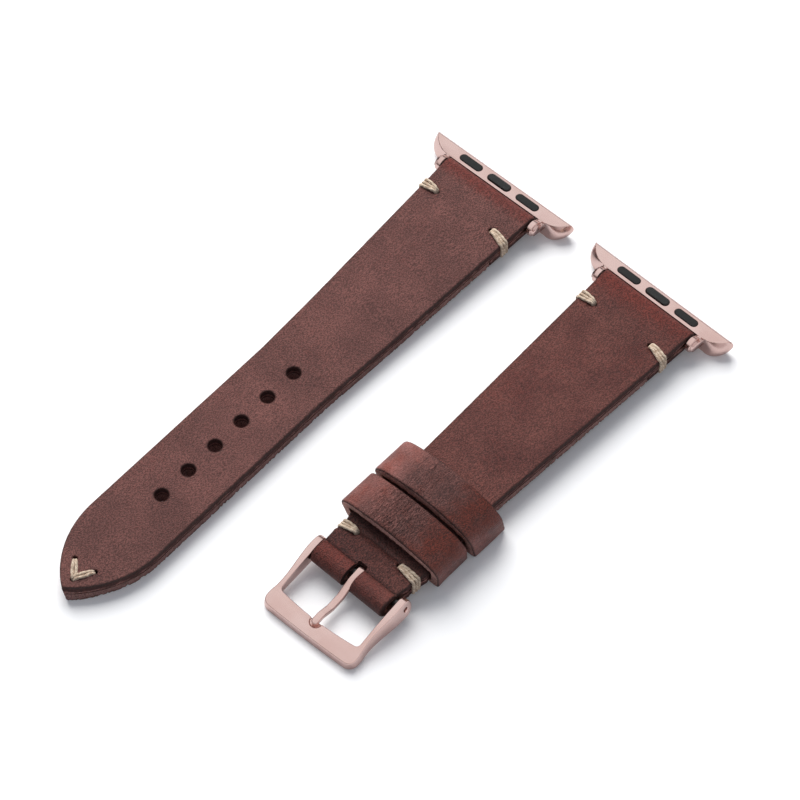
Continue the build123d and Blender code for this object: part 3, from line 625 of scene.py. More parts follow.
def leather_grain(name, brown, dark, red, wrinkles=0.0, wrinkle_turn=0.0):
    """Waxed grain side: cloudy brown, fine pebbles and pull-up lines, dark at the rim."""
    grain = Surface(name, Specular_IOR_Level=0.36)
    clouds = grain.cloud(GRAIN_CLOUD, 5)
    mottle = grain.cloud(GRAIN_MOTTLE, 3)
    speckle = grain.cloud(GRAIN_SPECKLE, 2, ((0, 0, 0.35), (0.7, 1.3, 1)))
    pull = grain.cloud(GRAIN_PULL, 3, ((0, 0, 0.5), (0.35, 1, 1)))
    colour = grain.mix(grain.fade(clouds, 0.3, 0.72), dark, brown)
    rubbed = grain.attribute("rubbed")
    colour = grain.mix(grain.fade(rubbed + (mottle - 0.5) * 0.6, 0.1, 1.0), colour, red)
    tone = grain.fade(speckle * 0.86 + mottle * 0.06 + pull * 0.08, 0.36, 0.66)
    # Random tone, lightened or darkened further by painted highlights, shade and reflections where a piece's
    # layer holds them
    colour = grain.shaded(colour, 0.47 + tone * 0.92 + grain.attribute("pale") * 0.4)
    rim = grain.fade(grain.attribute("rim"), 0.4, 1.0)
    colour = grain.mix(rim * 0.8, colour, paint("1d0e0b"))
    pebbles = grain.node("ShaderNodeTexVoronoi", {"feature": "SMOOTH_F1"}, {
        "Vector": grain.where, "Scale": 1 / PEBBLE, "Smoothness": 0.5,
    })
    relief = pebbles * 0.3 + speckle * 0.6 + pull * 0.35 + mottle * 0.3
    surface = grain.bump(relief, GRAIN_DEPTH)
    if wrinkles:
        lines = grain.cloud(WRINKLE_GAP, 3, ((0, 0, wrinkle_turn), (0.25, 1.7, 1)))
        folds = grain.fade(lines, 0.53, 0.62) - grain.fade(lines, 0.43, 0.37)
        # Painted highlight on the wrinkles' crests and painted shade in their troughs
        colour = grain.shaded(colour, 1 + folds * grain.attribute("height") * 0.3)
        surface = grain.bump(folds * grain.attribute("height"), wrinkles, surface)
    roughness = 0.36 + mottle * 0.14 + speckle * 0.14 + rim * 0.1
    return grain.wear(Base_Color=colour, Roughness=roughness, Normal=surface)


def leather_edge(name, upper, lower, line_height, fuzz):
    """Cut edge: a dark dyed line along the top with painted shade under the grain's rounded rim, and open
    fibres below it.
    """
    edge = Surface(name, Specular_IOR_Level=0.2)
    height = edge.attribute("height")
    wander = edge.cloud(EDGE_WANDER, 3)
    fibre = edge.cloud(EDGE_FIBRE, 4, ((0, 0, 0), (0.6, 1, 1.4)))
    speck = edge.cloud(EDGE_SPECK, 2)
    dyed = edge.fade(
        height + (wander - 0.5) * 0.9 + (fibre - 0.5) * 0.4, line_height - 0.1, line_height + 0.1
    )
    raw = edge.mix(edge.fade(fibre, 0.36, 0.6), edge.mix(0.6, lower, paint("1d100e")), lower)
    raw = edge.mix(edge.fade(speck, 0.52, 0.64) * 0.75, raw, paint("ba968e"))
    raw = edge.mix(edge.fade(wander, 0.56, 0.68) * 0.5, raw, paint("4b4436"))
    stained = edge.mix(edge.fade(fibre, 0.45, 0.65) * 0.5, upper, edge.mix(0.5, upper, lower))
    colour = edge.mix(dyed, raw, stained)
    # Near-black line just under the grain: partly edge finish, partly painted shade of the rounded rim
    rim = edge.fade(height + (fibre - 0.5) * 0.1, 0.86, 0.98)
    colour = edge.mix(rim * 0.75, colour, paint("120807"))
    surface = edge.bump(fibre * 0.8 + speck * 0.5, fuzz)
    return edge.wear(Base_Color=colour, Roughness=0.7 + fibre * 0.25, Normal=surface)


def leather_flesh(name, brown, dark):
    """Underside of the lining: smooth split leather with short fibres."""
    flesh = Surface(name, Roughness=0.75)
    nap = flesh.cloud(NAP, 4, ((0, 0, 0.2), (0.4, 1, 1)))
    clouds = flesh.cloud(FLESH_CLOUD, 3)
    colour = flesh.mix(flesh.fade(clouds * 0.6 + nap * 0.4, 0.35, 0.65), dark, brown)
    return flesh.wear(Base_Color=colour, Roughness=0.7 + nap * 0.2, Normal=flesh.bump(nap, NAP_DEPTH))


LONG_GRAIN = leather_grain("long_grain", paint("69443f"), paint("593935"), paint("632f29"))
TOP_EDGE = leather_edge("top_ply_edge", paint("3a2422"), paint("7c5049"), 0.3, TOP_FUZZ)
LINING_EDGE = leather_edge("lining_ply_edge", paint("402a28"), paint("946c66"), 1.1, LINING_FUZZ)
LINING_FLESH = leather_flesh("lining_flesh", paint("7a5646"), paint("64443a"))


def finished(name, mesh, body, nodes, materials, crisp=38):
    """Makes a piece of the strap from its mesh, in place of the CAD nodes it stands for."""
    made = as_object(name, mesh)
    for material in materials:
        made.data.materials.append(material)
    made.data.shade_smooth()
    made.data.set_sharp_from_angle(angle=math.radians(crisp))
    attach(made, body)
    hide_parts(*nodes)
    return made


def round_over(distance):
    """How far a rim is rubbed down at a distance from the outline."""
    inside = max(RIM_ROUND - distance, 0)
    return RIM_ROUND - math.sqrt(max(RIM_ROUND ** 2 - inside ** 2, 0))


LONG_STITCHES = [
    Stitch(-STITCH_DISTANCE, side, long_half_width(-STITCH_DISTANCE), inset, lean, spread)
    for side, inset, lean, spread in LUG_STITCHES
]


def shape_top_ply(sheet, half_width, fold_place, stitches, wear_and_light_at, place, holes):
    """Marks, rubs down, dents and folds an upper ply, and brings it to its place."""
    rim, height, rubbed, pale = marked(sheet)
    for vert in sheet.verts:
        x, y, z = vert.co
        share = (z - PLY) / PLY
        folded_x, level_z = fold_place(x, share)
        margin = half_width(folded_x) - abs(y)
        closest = min(margin, near_holes(x, y)) if holes else margin
        vert[rim] = 1 - clamp(closest / RIM_FADE)
        vert[height] = share
        # Redness, and a tone that holds painted highlight and shade where the half has them
        vert[rubbed], vert[pale] = wear_and_light_at(x, y)
        if not holes:
            # Painted shade in the crease and in the thread's groove, laid into the dark rim layer
            vert[rim] = max(vert[rim], SHADE_SHARE * bell(x, CREASE, CREASE_SHADE_WIDTH), thread_groove_shade(x, y))
        if share > GRAIN_SIDE_SHARE:
            sink = round_over(margin) + pulled_in(x, y, stitches) - ripple((x, y, 0), *GRAIN_WAVE)
            folded_x, level_z = fold_place(x, share - sink / PLY)
        if margin < ON_EDGE:
            y += math.copysign(ripple((x, y, z), *EDGE_RIPPLE) - ripple((x, y, 0), *EDGE_WAVE), y)
            y -= math.copysign(SEAM_DEPTH * bell(share, 0, SEAM_SHARE), y)
            probe = math.copysign(half_width(x) - EDGE_PROBE, y)
            y -= math.copysign(min(pulled_in(x, probe, stitches), EDGE_DENT), y)
        vert.co = place(folded_x, y, level_z)
    return sheet


def long_place(x, y, z):
    """Place on the long half, whose two plies don't quite agree at the tip."""
    near_tip = clamp(1 - (x + LONG_LENGTH) / TIP_SKEW_REACH)
    y -= TIP_SKEW * near_tip ** 1.5 * max(1 - z / THICKNESS, 0)
    x, z = risen(x, z)
    return LONG_PLACE @ Vector((x, y, z))


def long_fold(x, share):
    return folded(x, share, LUG_FOLD)


def long_flat_half_width(x):
    return long_half_width(long_fold(x, 1)[0])


def long_rubbed(x, y):
    """The grain is rubbed redder where it turns over the lug bar, and unevenly along the rest."""
    fold = bell(x, *LONG_FOLD_RUB)
    return fold * 0.85 + 0.05 + ripple((x, y, 3), 16, 0.3), ripple((x, y, 4), 22, 0.4)


long_end = LUG_FOLD.line + math.pi * LUG_FOLD.radius + FLAP
long_top = cut_sheet(-LONG_LENGTH, long_end, PLY, THICKNESS, long_flat_half_width, 400)
long_top = cut_away(long_top, punch(HOLES, TOP_PUNCH))
long_top = cut_away(long_top, punch(awl_places(LONG_STITCHES) + TIP_PLACES, AWL))
shape_top_ply(long_top, long_half_width, long_fold, LONG_STITCHES, long_rubbed, long_place, True)
finished(
    "long_top_ply", long_top, "strap_long", ["long_top_leather"],
    [LONG_GRAIN, TOP_EDGE, LINING_FLESH],
)


def shape_lining(sheet, half_width, place, holes):
    """Marks and roughens a lining ply: its lower edge is ragged where the knife left fibres."""
    rim, height, rubbed, pale = marked(sheet)
    for vert in sheet.verts:
        x, y, z = vert.co
        margin = half_width(x) - abs(y)
        closest = min(margin, near_holes(x, y)) if holes else margin
        vert[rim] = 1 - clamp(closest / RIM_FADE)
        vert[height] = z / PLY
        vert[rubbed] = 0
        if margin < ON_EDGE and z < PLY * 0.95:
            ragged = abs(ripple((x, y, z), *LINING_FIBRES))
            ragged += abs(ripple((x, y, 9), LINING_WAVE, LINING_WAVE_DEPTH * (1 - z / PLY)))
            y -= math.copysign(ragged, y)
        if margin < LINING_MARGIN:
            z += max(ripple((x, y, 5), *LINING_TUFTS) + ripple((x, y, 2), *LINING_SAG), 0) * (1 - z / PLY)
        vert.co = place(x, y, z * 0.99)
    return sheet


long_lining = cut_sheet(-LONG_LENGTH, -FLAP - LUG_GAP, 0, PLY, long_half_width, 420, rows=24)
long_lining = cut_away(long_lining, punch(HOLES, LINING_PUNCH))
shape_lining(long_lining, long_half_width, long_place, True)
finished(
    "long_lining_ply", long_lining, "strap_long", ["long_lining_leather"],
    [LINING_FLESH, LINING_EDGE, LINING_FLESH],
)


# Short half: the same two plies, folded round the lug bar at one end and round the buckle's bar at
# the other, where a slot lets the tongue through. The roll there is fuller and starts at a crease.

SHORT_TURN = math.radians(-1.2)
SHORT_TAPER = 58.4
BUCKLE_END_WIDTH = 19.2
BUCKLE_BAR = 88.6
BUCKLE_FOLD = Fold(-BUCKLE_BAR - 0.6, -1, 2.4, 0.9, 0.96, 0.4, 0.95, 3.15)
CREASE = -BUCKLE_BAR + 0.8
CREASE_DEPTH = 0.34
CREASE_WIDTH = 0.34
# Width of the crease's painted shade, and how dark it and the groove's painted shade get
CREASE_SHADE_WIDTH = 0.4
SHADE_SHARE = 0.85
THREAD_LEAD = 0.6
THREAD_SUNK = 0.24
THREAD_WIDTH = 0.5
# Width of the painted shade along the thread's groove
GROOVE_SHADE_WIDTH = 0.35
THREAD_WANDER = (3, 0.3)
BUTT_GAP = 0.15
SLOT_HALF = 1.2
SLOT_TAIL = 3.1
SLOT_CORNER = 0.35
SLOT_END = 1.7 - BUCKLE_BAR
WAIST = 6.1 - BUCKLE_BAR
WAIST_DEPTH = 0.7
WAIST_RADIUS = 4.5
FLARE = 0.8
FLARE_PLACE = -81.8
FLARE_REACH = 3.3
FLARE_RIGHT = 0.55
BUCKLE_STITCH_INSET = 3.7
SHORT_LUG_RUB = (-1.5, 4.0)
# Middle and width of the painted highlight on the roll, from the crease
ROLL_HIGHLIGHT = (-1.6, 1.1)
ROLL_LEAD = 0.3
ROLL_FADE = 1.2
# Where the painted shade between the keeper and the crease starts, and how long it fades in
PAINTED_SHADE_FROM = -74.0
PAINTED_SHADE_FADE = 6.0


def centre(node):
    """Middle of a node's box."""
    low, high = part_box(node)
    return (low + high) / 2


SHORT_PLACE = (
    Matrix.Translation(centre("short_lug_bar_tube"))
    @ Matrix.Rotation(SHORT_TURN, 4, "Z")
    @ Matrix.Scale(MM, 4)
    @ Matrix.Translation((2, 0, -BAR_HEIGHT))
)


def flared(x):
    """How strongly the plies spread beside the fixed keeper, where the thread squeezes them."""
    return bell(x, FLARE_PLACE, FLARE_REACH)


def short_half_width(x):
    """Half the short half's width: a taper, then straight, with a waist at each buckle stitch."""
    share = clamp(-x / SHORT_TAPER)
    width = (LUG_WIDTH + (BUCKLE_END_WIDTH - LUG_WIDTH) * share) / 2 + FLARE * flared(x)
    reach = WAIST_RADIUS ** 2 - (x - WAIST) ** 2
    if reach > 0:
        width -= max(math.sqrt(reach) - WAIST_RADIUS + WAIST_DEPTH, 0)
    return width


def thread_groove_shade(x, y):
    """Painted shade along the groove that the thread under the grain presses in between the two buckle
    stitches.
    """
    if abs(y) > BUCKLE_END_WIDTH / 2 - BUCKLE_STITCH_INSET:
        return 0
    return SHADE_SHARE * bell(x - WAIST - THREAD_LEAD, ripple((y, 0, 0), *THREAD_WANDER), GROOVE_SHADE_WIDTH)


def short_fold(x, share):
    if x > -BUCKLE_BAR / 2:
        return folded(x, share, LUG_FOLD)
    return folded(x, share, BUCKLE_FOLD)


def short_flat_half_width(x):
    return short_half_width(short_fold(x, 1)[0])


def short_place(x, y, z):
    """Place on the short half, which spreads a little more to its right."""
    if y < 0:
        y -= FLARE_RIGHT * flared(x) * min(-y / BUCKLE_END_WIDTH * 2, 1)
    return SHORT_PLACE @ Vector((x, y, z))


def short_wear_and_painted_light(x, y):
    """Redder at both folds and over the roll, with painted shade between the keeper and the crease and a
    painted highlight on the roll next to the crease.
    """
    lug = bell(x, *SHORT_LUG_RUB)
    roll = clamp((CREASE - x + ROLL_LEAD) / ROLL_FADE)
    # Painted shade: the strap between the keeper and the crease is darkened
    painted_shade = clamp((PAINTED_SHADE_FROM - x) / PAINTED_SHADE_FADE) * (1 - roll)
    # Painted highlight: the roll is lightened just past the crease
    painted_highlight = 0.35 * bell(x - CREASE, *ROLL_HIGHLIGHT)
    redness = lug * 0.75 + roll * 0.4 + 0.12 + ripple((x, y, 8), 13, 0.3)
    return redness, painted_highlight + ripple((x, y, 2), 20, 0.4) - painted_shade * 0.55


SHORT_STITCHES = [
    Stitch(-STITCH_DISTANCE, side, short_half_width(-STITCH_DISTANCE), inset, lean, spread)
    for side, inset, lean, spread in LUG_STITCHES
] + [
    Stitch(WAIST, side, short_half_width(WAIST), inset, lean, 1.1)
    for side, inset, lean in ((1, 3.4, 0.4), (-1, 4.2, 0.3))
]


def slot_cutter():
    """Block with rounded corners for the tongue's slot, through the roll and its flap while flat."""
    far = BUCKLE_FOLD.line - BUCKLE_FOLD.flat * 2 - math.pi * BUCKLE_FOLD.radius - SLOT_TAIL
    tool = bmesh.new()
    bmesh.ops.create_cube(tool, size=1)
    for vert in tool.verts:
        x = SLOT_END if vert.co.x > 0 else far
        vert.co = (x, vert.co.y * 2 * SLOT_HALF, 3 * PLY / 2 + vert.co.z * 2 * PLY)
    bmesh.ops.bevel(
        tool, geom=upright(tool, PLY), offset=SLOT_CORNER, affect="EDGES", segments=6, profile=0.5,
        material=-1,
    )
    return tool


def short_top_place(x, share):
    """Fold of the short half, with the crease pressed in before the roll."""
    folded_x, height = short_fold(x, share)
    if x > BUCKLE_FOLD.line:
        height -= CREASE_DEPTH * share * bell(x, CREASE, CREASE_WIDTH)
        height -= THREAD_SUNK * share * bell(x - WAIST, THREAD_LEAD, THREAD_WIDTH)
    return folded_x, height


short_start = (
    BUCKLE_FOLD.line - BUCKLE_FOLD.flat - math.pi * BUCKLE_FOLD.radius - BUCKLE_FOLD.flat
    - (FLAP - BUCKLE_BAR - BUCKLE_FOLD.line)
)
short_top = cut_sheet(short_start, long_end, PLY, THICKNESS, short_flat_half_width, 400)
short_top = cut_away(short_top, slot_cutter())
short_top = cut_away(short_top, punch(awl_places(SHORT_STITCHES), AWL))
shape_top_ply(short_top, short_half_width, short_top_place, SHORT_STITCHES, short_wear_and_painted_light, short_place, False)
SHORT_GRAIN = leather_grain("short_grain", paint("613a34"), paint("502d29"), paint("602b24"))
finished(
    "short_top_ply", short_top, "strap_short", ["short_top_leather"],
    [SHORT_GRAIN, TOP_EDGE, LINING_FLESH],
)
short_lining = cut_sheet(
    FLAP - BUCKLE_BAR + BUTT_GAP, -FLAP - LUG_GAP, 0, PLY, short_half_width, 240, rows=24
)
shape_lining(short_lining, short_half_width, short_place, False)
finished(
    "short_lining_ply", short_lining, "strap_short", ["short_lining_leather"],
    [LINING_FLESH, LINING_EDGE, LINING_FLESH],
)


# Keepers: two loops of the same leather, thicker than the plies, with open cut edges. The fixed one
# sits by the buckle stitches, and the other slides and stands a little higher.

KEEPER_LENGTH = 9.0
KEEPER_HALF = 13.4
KEEPER_THICKNESS = 2.2
KEEPER_BASE = 1.54
KEEPER_TOP = 4.6
KEEPER_FIT = 0.06
OUTER_CORNER = 3.1
INNER_CORNER = 0.6
BASE_CORNER = 1.4
SEAT_CORNER = 0.2
FIXED_START = 8.3 - BUCKLE_BAR
KEEPER_GAP = 1.1
FLOATING_START = FIXED_START + KEEPER_LENGTH + KEEPER_GAP
STRETCH_COLUMNS = (26, 6, 12, 9, 64, 9, 12, 6)
KEEPER_LEAN = 1.6
KEEPER_TUCK = 0.9
KEEPER_WELD = 0.02 * MM
WRINKLE_DEPTH = 0.36 * MM
KEEPER_FUZZ = 0.24 * MM
# Size and amount of each unevenness
KEEPER_WAVE = (5, 0.08)
KEEPER_CLOUDS = (3, 0.45)
KEEPER_FRAY = (0.5, 0.3)
KEEPER_NOTCH = (1.5, 0.16)
KEEPER_SAG = (0.5, 0.16)
# Middle and width of each mark across the top: wrinkles, redness at the bends, a painted highlight and a
# painted shade
WRINKLED = (1.5, 5.0)
RIGHT_BEND = (-9.5, 4.5)
LEFT_BEND = (11, 3.0)
LEFT_HIGHLIGHT = (11, 4.5)
RIGHT_SHADE = (-9, 4.0)
# Where the painted reflection of the table on the right side begins, and how it fades in
REFLECTION_SIDE = -11
REFLECTION_FADE = 2


def loop_corners(half, low, high, low_corner, high_corner, stretch, share):
    """Point on a round-cornered loop, seen from its front: eight stretches, each from 0 to 1."""
    y_low, y_high = half - low_corner, half - high_corner
    straight = {
        0: ((-y_low, low), (y_low, low)), 2: ((half, low + low_corner), (half, high - high_corner)),
        4: ((y_high, high), (-y_high, high)), 6: ((-half, high - high_corner), (-half, low + low_corner)),
    }
    if stretch in straight:
        (y_0, z_0), (y_1, z_1) = straight[stretch]
        return y_0 + (y_1 - y_0) * share, z_0 + (z_1 - z_0) * share
    side = 1 if stretch in (1, 3) else -1
    upper = stretch in (3, 5)
    corner = high_corner if upper else low_corner
    centre_z = high - corner if upper else low + corner
    begin = {1: -90, 3: 0, 5: 90, 7: 180}[stretch]
    angle = math.radians(begin + 90 * share)
    return side * (half - corner) + corner * math.cos(angle), centre_z + corner * math.sin(angle)


def keeper_point(stretch, share, depth, fit, arch):
    """Point in a keeper's leather: depth is 0 inside and 1 outside, and the top is arched."""
    outer = loop_corners(
        KEEPER_HALF, -fit - KEEPER_BASE, KEEPER_TOP + KEEPER_THICKNESS, BASE_CORNER, OUTER_CORNER,
        stretch, share,
    )
    inner_half = KEEPER_HALF - KEEPER_THICKNESS
    inner = loop_corners(inner_half, -fit, KEEPER_TOP, SEAT_CORNER, INNER_CORNER, stretch, share)
    y, z = [near + (far - near) * depth for near, far in zip(inner, outer)]
    if stretch in (3, 4, 5):
        reach = inner_half + (KEEPER_HALF - inner_half) * depth
        z += arch * max(1 - (y / reach) ** 2, 0)
    return y, z


def keeper(start, fit, arch, tuck, wrinkles, highlight):
    """Loop of leather: a strip wrapped round, its ends butted and glued under the strap."""
    columns = sum(STRETCH_COLUMNS)
    strip = cut_sheet(0, columns, 0, 1, lambda x: KEEPER_LENGTH / 2, columns, rows=18, layers=7)
    rim, height, rubbed, pale = marked(strip)
    ends = [face for face in strip.faces if abs(face.normal.x) > 0.9]
    bmesh.ops.delete(strip, geom=ends, context="FACES")
    outside = KEEPER_TOP + KEEPER_THICKNESS
    for vert in strip.verts:
        column, across, depth = vert.co
        stretch = 0
        while stretch < 7 and column > STRETCH_COLUMNS[stretch]:
            column -= STRETCH_COLUMNS[stretch]
            stretch += 1
        share = column / STRETCH_COLUMNS[stretch]
        margin = KEEPER_LENGTH / 2 - abs(across)
        sink = 0
        if depth > GRAIN_SIDE_SHARE:
            worn = round_over(margin) * 0.8 + abs(ripple((column, across, stretch), *KEEPER_WAVE))
            sink = worn / KEEPER_THICKNESS
        y, z = keeper_point(stretch, share, depth - sink, fit, arch)
        wrinkled = wrinkles * bell(y, *WRINKLED) if stretch == 4 else 0
        vert[rim] = (1 - clamp(margin / RIM_FADE)) * (1 if depth > 0.5 else 0)
        vert[height] = depth if margin < ON_EDGE else wrinkled
        bend = 0.7 * bell(y, *RIGHT_BEND) + 0.2 * bell(y, *LEFT_BEND)
        vert[rubbed] = 0.12 + (bend if z > PLY else 0) + ripple((y, across, z), *KEEPER_CLOUDS)
        # Painted highlight on the left shoulder, painted shade in the wrinkles and on the right of the top
        vert[pale] = bell(y, *LEFT_HIGHLIGHT) * (highlight if z > THICKNESS else 0) - 0.3 * wrinkled
        vert[pale] -= 0.45 * bell(y, *RIGHT_SHADE)
        # Painted reflection of the white table, lightening the right side
        if y < REFLECTION_SIDE:
            vert[pale] += 1.7 * min((REFLECTION_SIDE - y) / REFLECTION_FADE, 1)
        sunk = clamp((outside - z) / (outside + KEEPER_BASE))
        x = start + KEEPER_LENGTH / 2 + across + KEEPER_LEAN * sunk
        y *= 1 - tuck * min(sunk * 1.2, 1) / KEEPER_HALF
        if margin < ON_EDGE:
            fray = abs(ripple((y * 1.3, z * 1.3, start), *KEEPER_FRAY))
            fray += abs(ripple((y, z, start), *KEEPER_NOTCH))
            x -= math.copysign(fray * (1.1 - depth), across)
            z += ripple((y, z, start + 7), *KEEPER_SAG) * (1 - depth) if stretch == 4 else 0
        vert.co = short_place(x, y, z)
    close_up(strip, KEEPER_WELD)
    return strip


KEEPER_GRAIN = leather_grain(
    "keeper_grain", paint("6b4540"), paint("4b312e"), paint("58261c"), WRINKLE_DEPTH, SHORT_TURN,
)
KEEPER_EDGE = leather_edge("keeper_edge", paint("50322d"), paint("b98a81"), 0.93, KEEPER_FUZZ)
for name, start, fit, arch, tuck, wrinkles, highlight, body in (
    ("fixed_keeper", FIXED_START, 0, 1.7, KEEPER_TUCK, 1.0, 1.35, "strap_short"),
    ("floating_keeper", FLOATING_START, KEEPER_FIT, 2.4, 0, 0.35, 2.7, "floating_keeper"),
):
    finished(
        f"{name}_loop", keeper(start, fit, arch, tuck, wrinkles, highlight), body, [name],
        [KEEPER_GRAIN, KEEPER_EDGE, LINING_FLESH],
    )


# Stitches: waxed cream linen thread, two plies twisted. By the adapters and by the buckle, three
# strands come out of one hole and go over the edge. At the tip the thread makes a V.

THREAD_RADIUS = 0.37
THREAD_SIDES = 14
TWIST_PITCH = 2.6
STITCH_STRANDS = 3
STITCH_SPREAD = 0.66
STITCH_GATHER = 0.62
STRAND_STRAY = (1, 0.12)
TIP_NEAR_GAP = 0.3
TIP_MIDDLE_GAP = 0.2
TIP_FAR_GAP = 0.22
TIP_LIFT = 0.25
TIP_DIVE = 1.2
TIP_SHOULDER = 0.5
TIP_TURN = 0.1
TIP_TURN_DROP = 0.2
LINEN_FUZZ = 0.12 * MM
LINEN_SOIL = 0.9 * MM
LINEN_DEPTH = 0.1 * MM


def smooth_line(points):
    """Points along a smooth curve that a few given points pull into shape."""
    curve = bpy.data.curves.new("line", "CURVE")
    curve.dimensions = "3D"
    curve.resolution_u = 10
    spline = curve.splines.new("NURBS")
    spline.points.add(len(points) - 1)
    for knot, point in zip(spline.points, points):
        knot.co = (*point, 1)
    spline.order_u = 4
    spline.use_endpoint_u = True
    holder = add_object("line", curve)
    evaluated = holder.evaluated_get(bpy.context.evaluated_depsgraph_get())
    line = [vert.co.copy() for vert in bpy.data.meshes.new_from_object(evaluated).vertices]
    bpy.data.objects.remove(holder)
    return line


def thread_mesh():
    """Empty mesh for thread, with layers for the way along a strand and round it."""
    mesh = bmesh.new()
    for name in ("along", "around"):
        mesh.verts.layers.float.new(name)
    return mesh


def add_thread(mesh, line, phase):
    """Lays one strand along a line: a rolled-up grid whose two plies turn about each other."""
    along, around = (mesh.verts.layers.float[name] for name in ("along", "around"))
    steps = len(line) - 1
    laid = bmesh.ops.create_grid(mesh, x_segments=steps, y_segments=THREAD_SIDES, size=1)["verts"]
    stations = []
    side = Vector((0.3, 0.2, 1)).normalized()
    travelled = 0
    for index, point in enumerate(line):
        ahead = line[min(index + 1, steps)] - line[max(index - 1, 0)]
        ahead.normalize()
        side = (side - ahead * side.dot(ahead)).normalized()
        if index:
            travelled += (point - line[index - 1]).length
        stations.append((point, side.copy(), ahead.cross(side), travelled))
    for vert in laid:
        point, side, over, travelled = stations[round((vert.co.x + 1) / 2 * steps)]
        vert[along] = travelled + phase * 3
        vert[around] = vert.co.y
        angle = math.pi * vert.co.y
        lobes = math.cos(2 * (angle - 2 * math.pi * travelled / TWIST_PITCH) + phase)
        reach = THREAD_RADIUS * (0.93 + 0.07 * lobes)
        vert.co = point + side * reach * math.cos(angle) + over * reach * math.sin(angle)
    bmesh.ops.remove_doubles(mesh, verts=laid, dist=FINE_WELD)
    bmesh.ops.holes_fill(mesh, edges=[edge for edge in mesh.edges if edge.is_boundary])
    bmesh.ops.recalc_face_normals(mesh, faces=mesh.faces)


def edge_stitch(stitch, place):
    """Strands from one hole, fanned out over the edge and back underneath."""
    mesh = thread_mesh()
    inward = stitch.edge - stitch.inset
    over = THICKNESS + THREAD_RADIUS * 0.3
    outward = stitch.edge + THREAD_RADIUS * 0.25
    lean = stitch.lean
    for index in range(STITCH_STRANDS):
        offset = index - (STITCH_STRANDS - 1) / 2
        wide = offset * STITCH_SPREAD * stitch.spread
        wide += ripple((index * 1.7, stitch.x, stitch.side), *STRAND_STRAY)
        close = wide * STITCH_GATHER / stitch.spread
        middle = (wide + close) / 2
        high = over + (0.0 if index % 2 else 0.1)
        # Out of the hole, over the grain, down the edge and back below it
        points = [
            (close * 0.4, inward - 0.25, over - 1.5), (close * 0.7, inward - 0.3, over - 0.5),
            (close, inward + 0.15, high + 0.14),
            (middle - lean * 0.3, inward + stitch.inset * 0.35, high + 0.06),
            (wide - lean * 0.7, inward + stitch.inset * 0.7, high), (wide - lean, outward - 0.6, high - 0.02),
            (wide - lean, outward - 0.1, high - 0.2), (wide - lean, outward + 0.1, high - 0.75),
            (wide - lean, outward + 0.02, PLY), (wide - lean, outward + 0.03, 0.6),
            (wide - lean, outward - 0.1, 0.02), (wide - lean * 0.7, outward - 0.6, 0.12),
            (middle, inward + stitch.inset * 0.35, 0.14), (close, inward + 0.35, 0.2),
            (close, inward - 0.1, 0.6), (close * 0.6, inward - 0.05, 1.3),
        ]
        add_thread(mesh, smooth_line([(stitch.x + x, stitch.side * y, z) for x, y, z in points]), index)
    for vert in mesh.verts:
        vert.co = place(*vert.co)
    return mesh


linen = Surface("waxed_linen", Specular_IOR_Level=0.25)
along = linen.attribute("along")
wound = linen.node("ShaderNodeCombineXYZ", {}, {
    "X": along * 0.5, "Y": linen.attribute("around") * 2.5 + along * 1.9, "Z": along * 0.02,
})
strands = linen.node("ShaderNodeTexNoise", {}, {"Vector": wound, "Scale": 2.2, "Detail": 3})
fuzz = linen.cloud(LINEN_FUZZ, 3)
soiled = linen.cloud(LINEN_SOIL, 3)
cream = linen.mix(linen.fade(strands, 0.38, 0.62), paint("a58f7b"), paint("d8c6b1"))
cream = linen.mix(linen.fade(soiled, 0.5, 0.7) * 0.45, cream, paint("93745f"))
LINEN = linen.wear(
    Base_Color=cream, Roughness=0.6 + fuzz * 0.25, Normal=linen.bump(strands * 0.8 + fuzz * 0.25, LINEN_DEPTH)
)
STITCH_NAMES = {
    "long_lug_stitch": (LONG_STITCHES, long_place, "strap_long"),
    "short_lug_stitch": (SHORT_STITCHES[:2], short_place, "strap_short"),
    "buckle_stitch": (SHORT_STITCHES[2:], short_place, "strap_short"),
}
for stem, (stitches, place, body) in STITCH_NAMES.items():
    for side_name, stitch in zip(("left", "right"), stitches):
        finished(
            f"{stem}_{side_name}_thread", edge_stitch(stitch, place), body,
            [f"{stem}_{side_name}"], [LINEN], 80,
        )

tip_thread = thread_mesh()
for side in (1, -1):
    end = TIP_ENDS[0 if side > 0 else 1]
    heading = (Vector(end) - Vector(TIP_APEX)).normalized().to_3d()
    beside = Vector((-heading.y, heading.x, 0))
    for strand in (-1, 1):
        for over, depth in ((THICKNESS + THREAD_RADIUS * 0.25, -1), (THREAD_RADIUS * 0.95, 1)):
            lift = TIP_LIFT if side < 0 and depth < 0 else 0
            near = Vector((*TIP_APEX, over)) + beside * strand * TIP_NEAR_GAP
            far = Vector((*end, over)) + beside * strand * TIP_FAR_GAP
            middle = (near + far) / 2 + beside * strand * TIP_MIDDLE_GAP
            dive = Vector((0, 0, TIP_DIVE * depth))
            turn = Vector((0, 0, TIP_TURN_DROP * depth))
            points = [
                near + dive, near + turn - heading * TIP_TURN,
                near + heading * TIP_SHOULDER + Vector((0, 0, lift)), middle,
                far - heading * TIP_SHOULDER, far + turn + heading * TIP_TURN, far + dive,
            ]
            add_thread(tip_thread, smooth_line(points), strand + side)
for vert in tip_thread.verts:
    vert.co = long_place(*vert.co)
finished("tip_stitch_thread", tip_thread, "strap_long", ["tip_stitch"], [LINEN], 80)


# Metal: the buckle, its tongue and both adapters are plated in satin rose gold. Their machined edges
# are broken by narrow polished bevels, but for those of the adapters' ears.

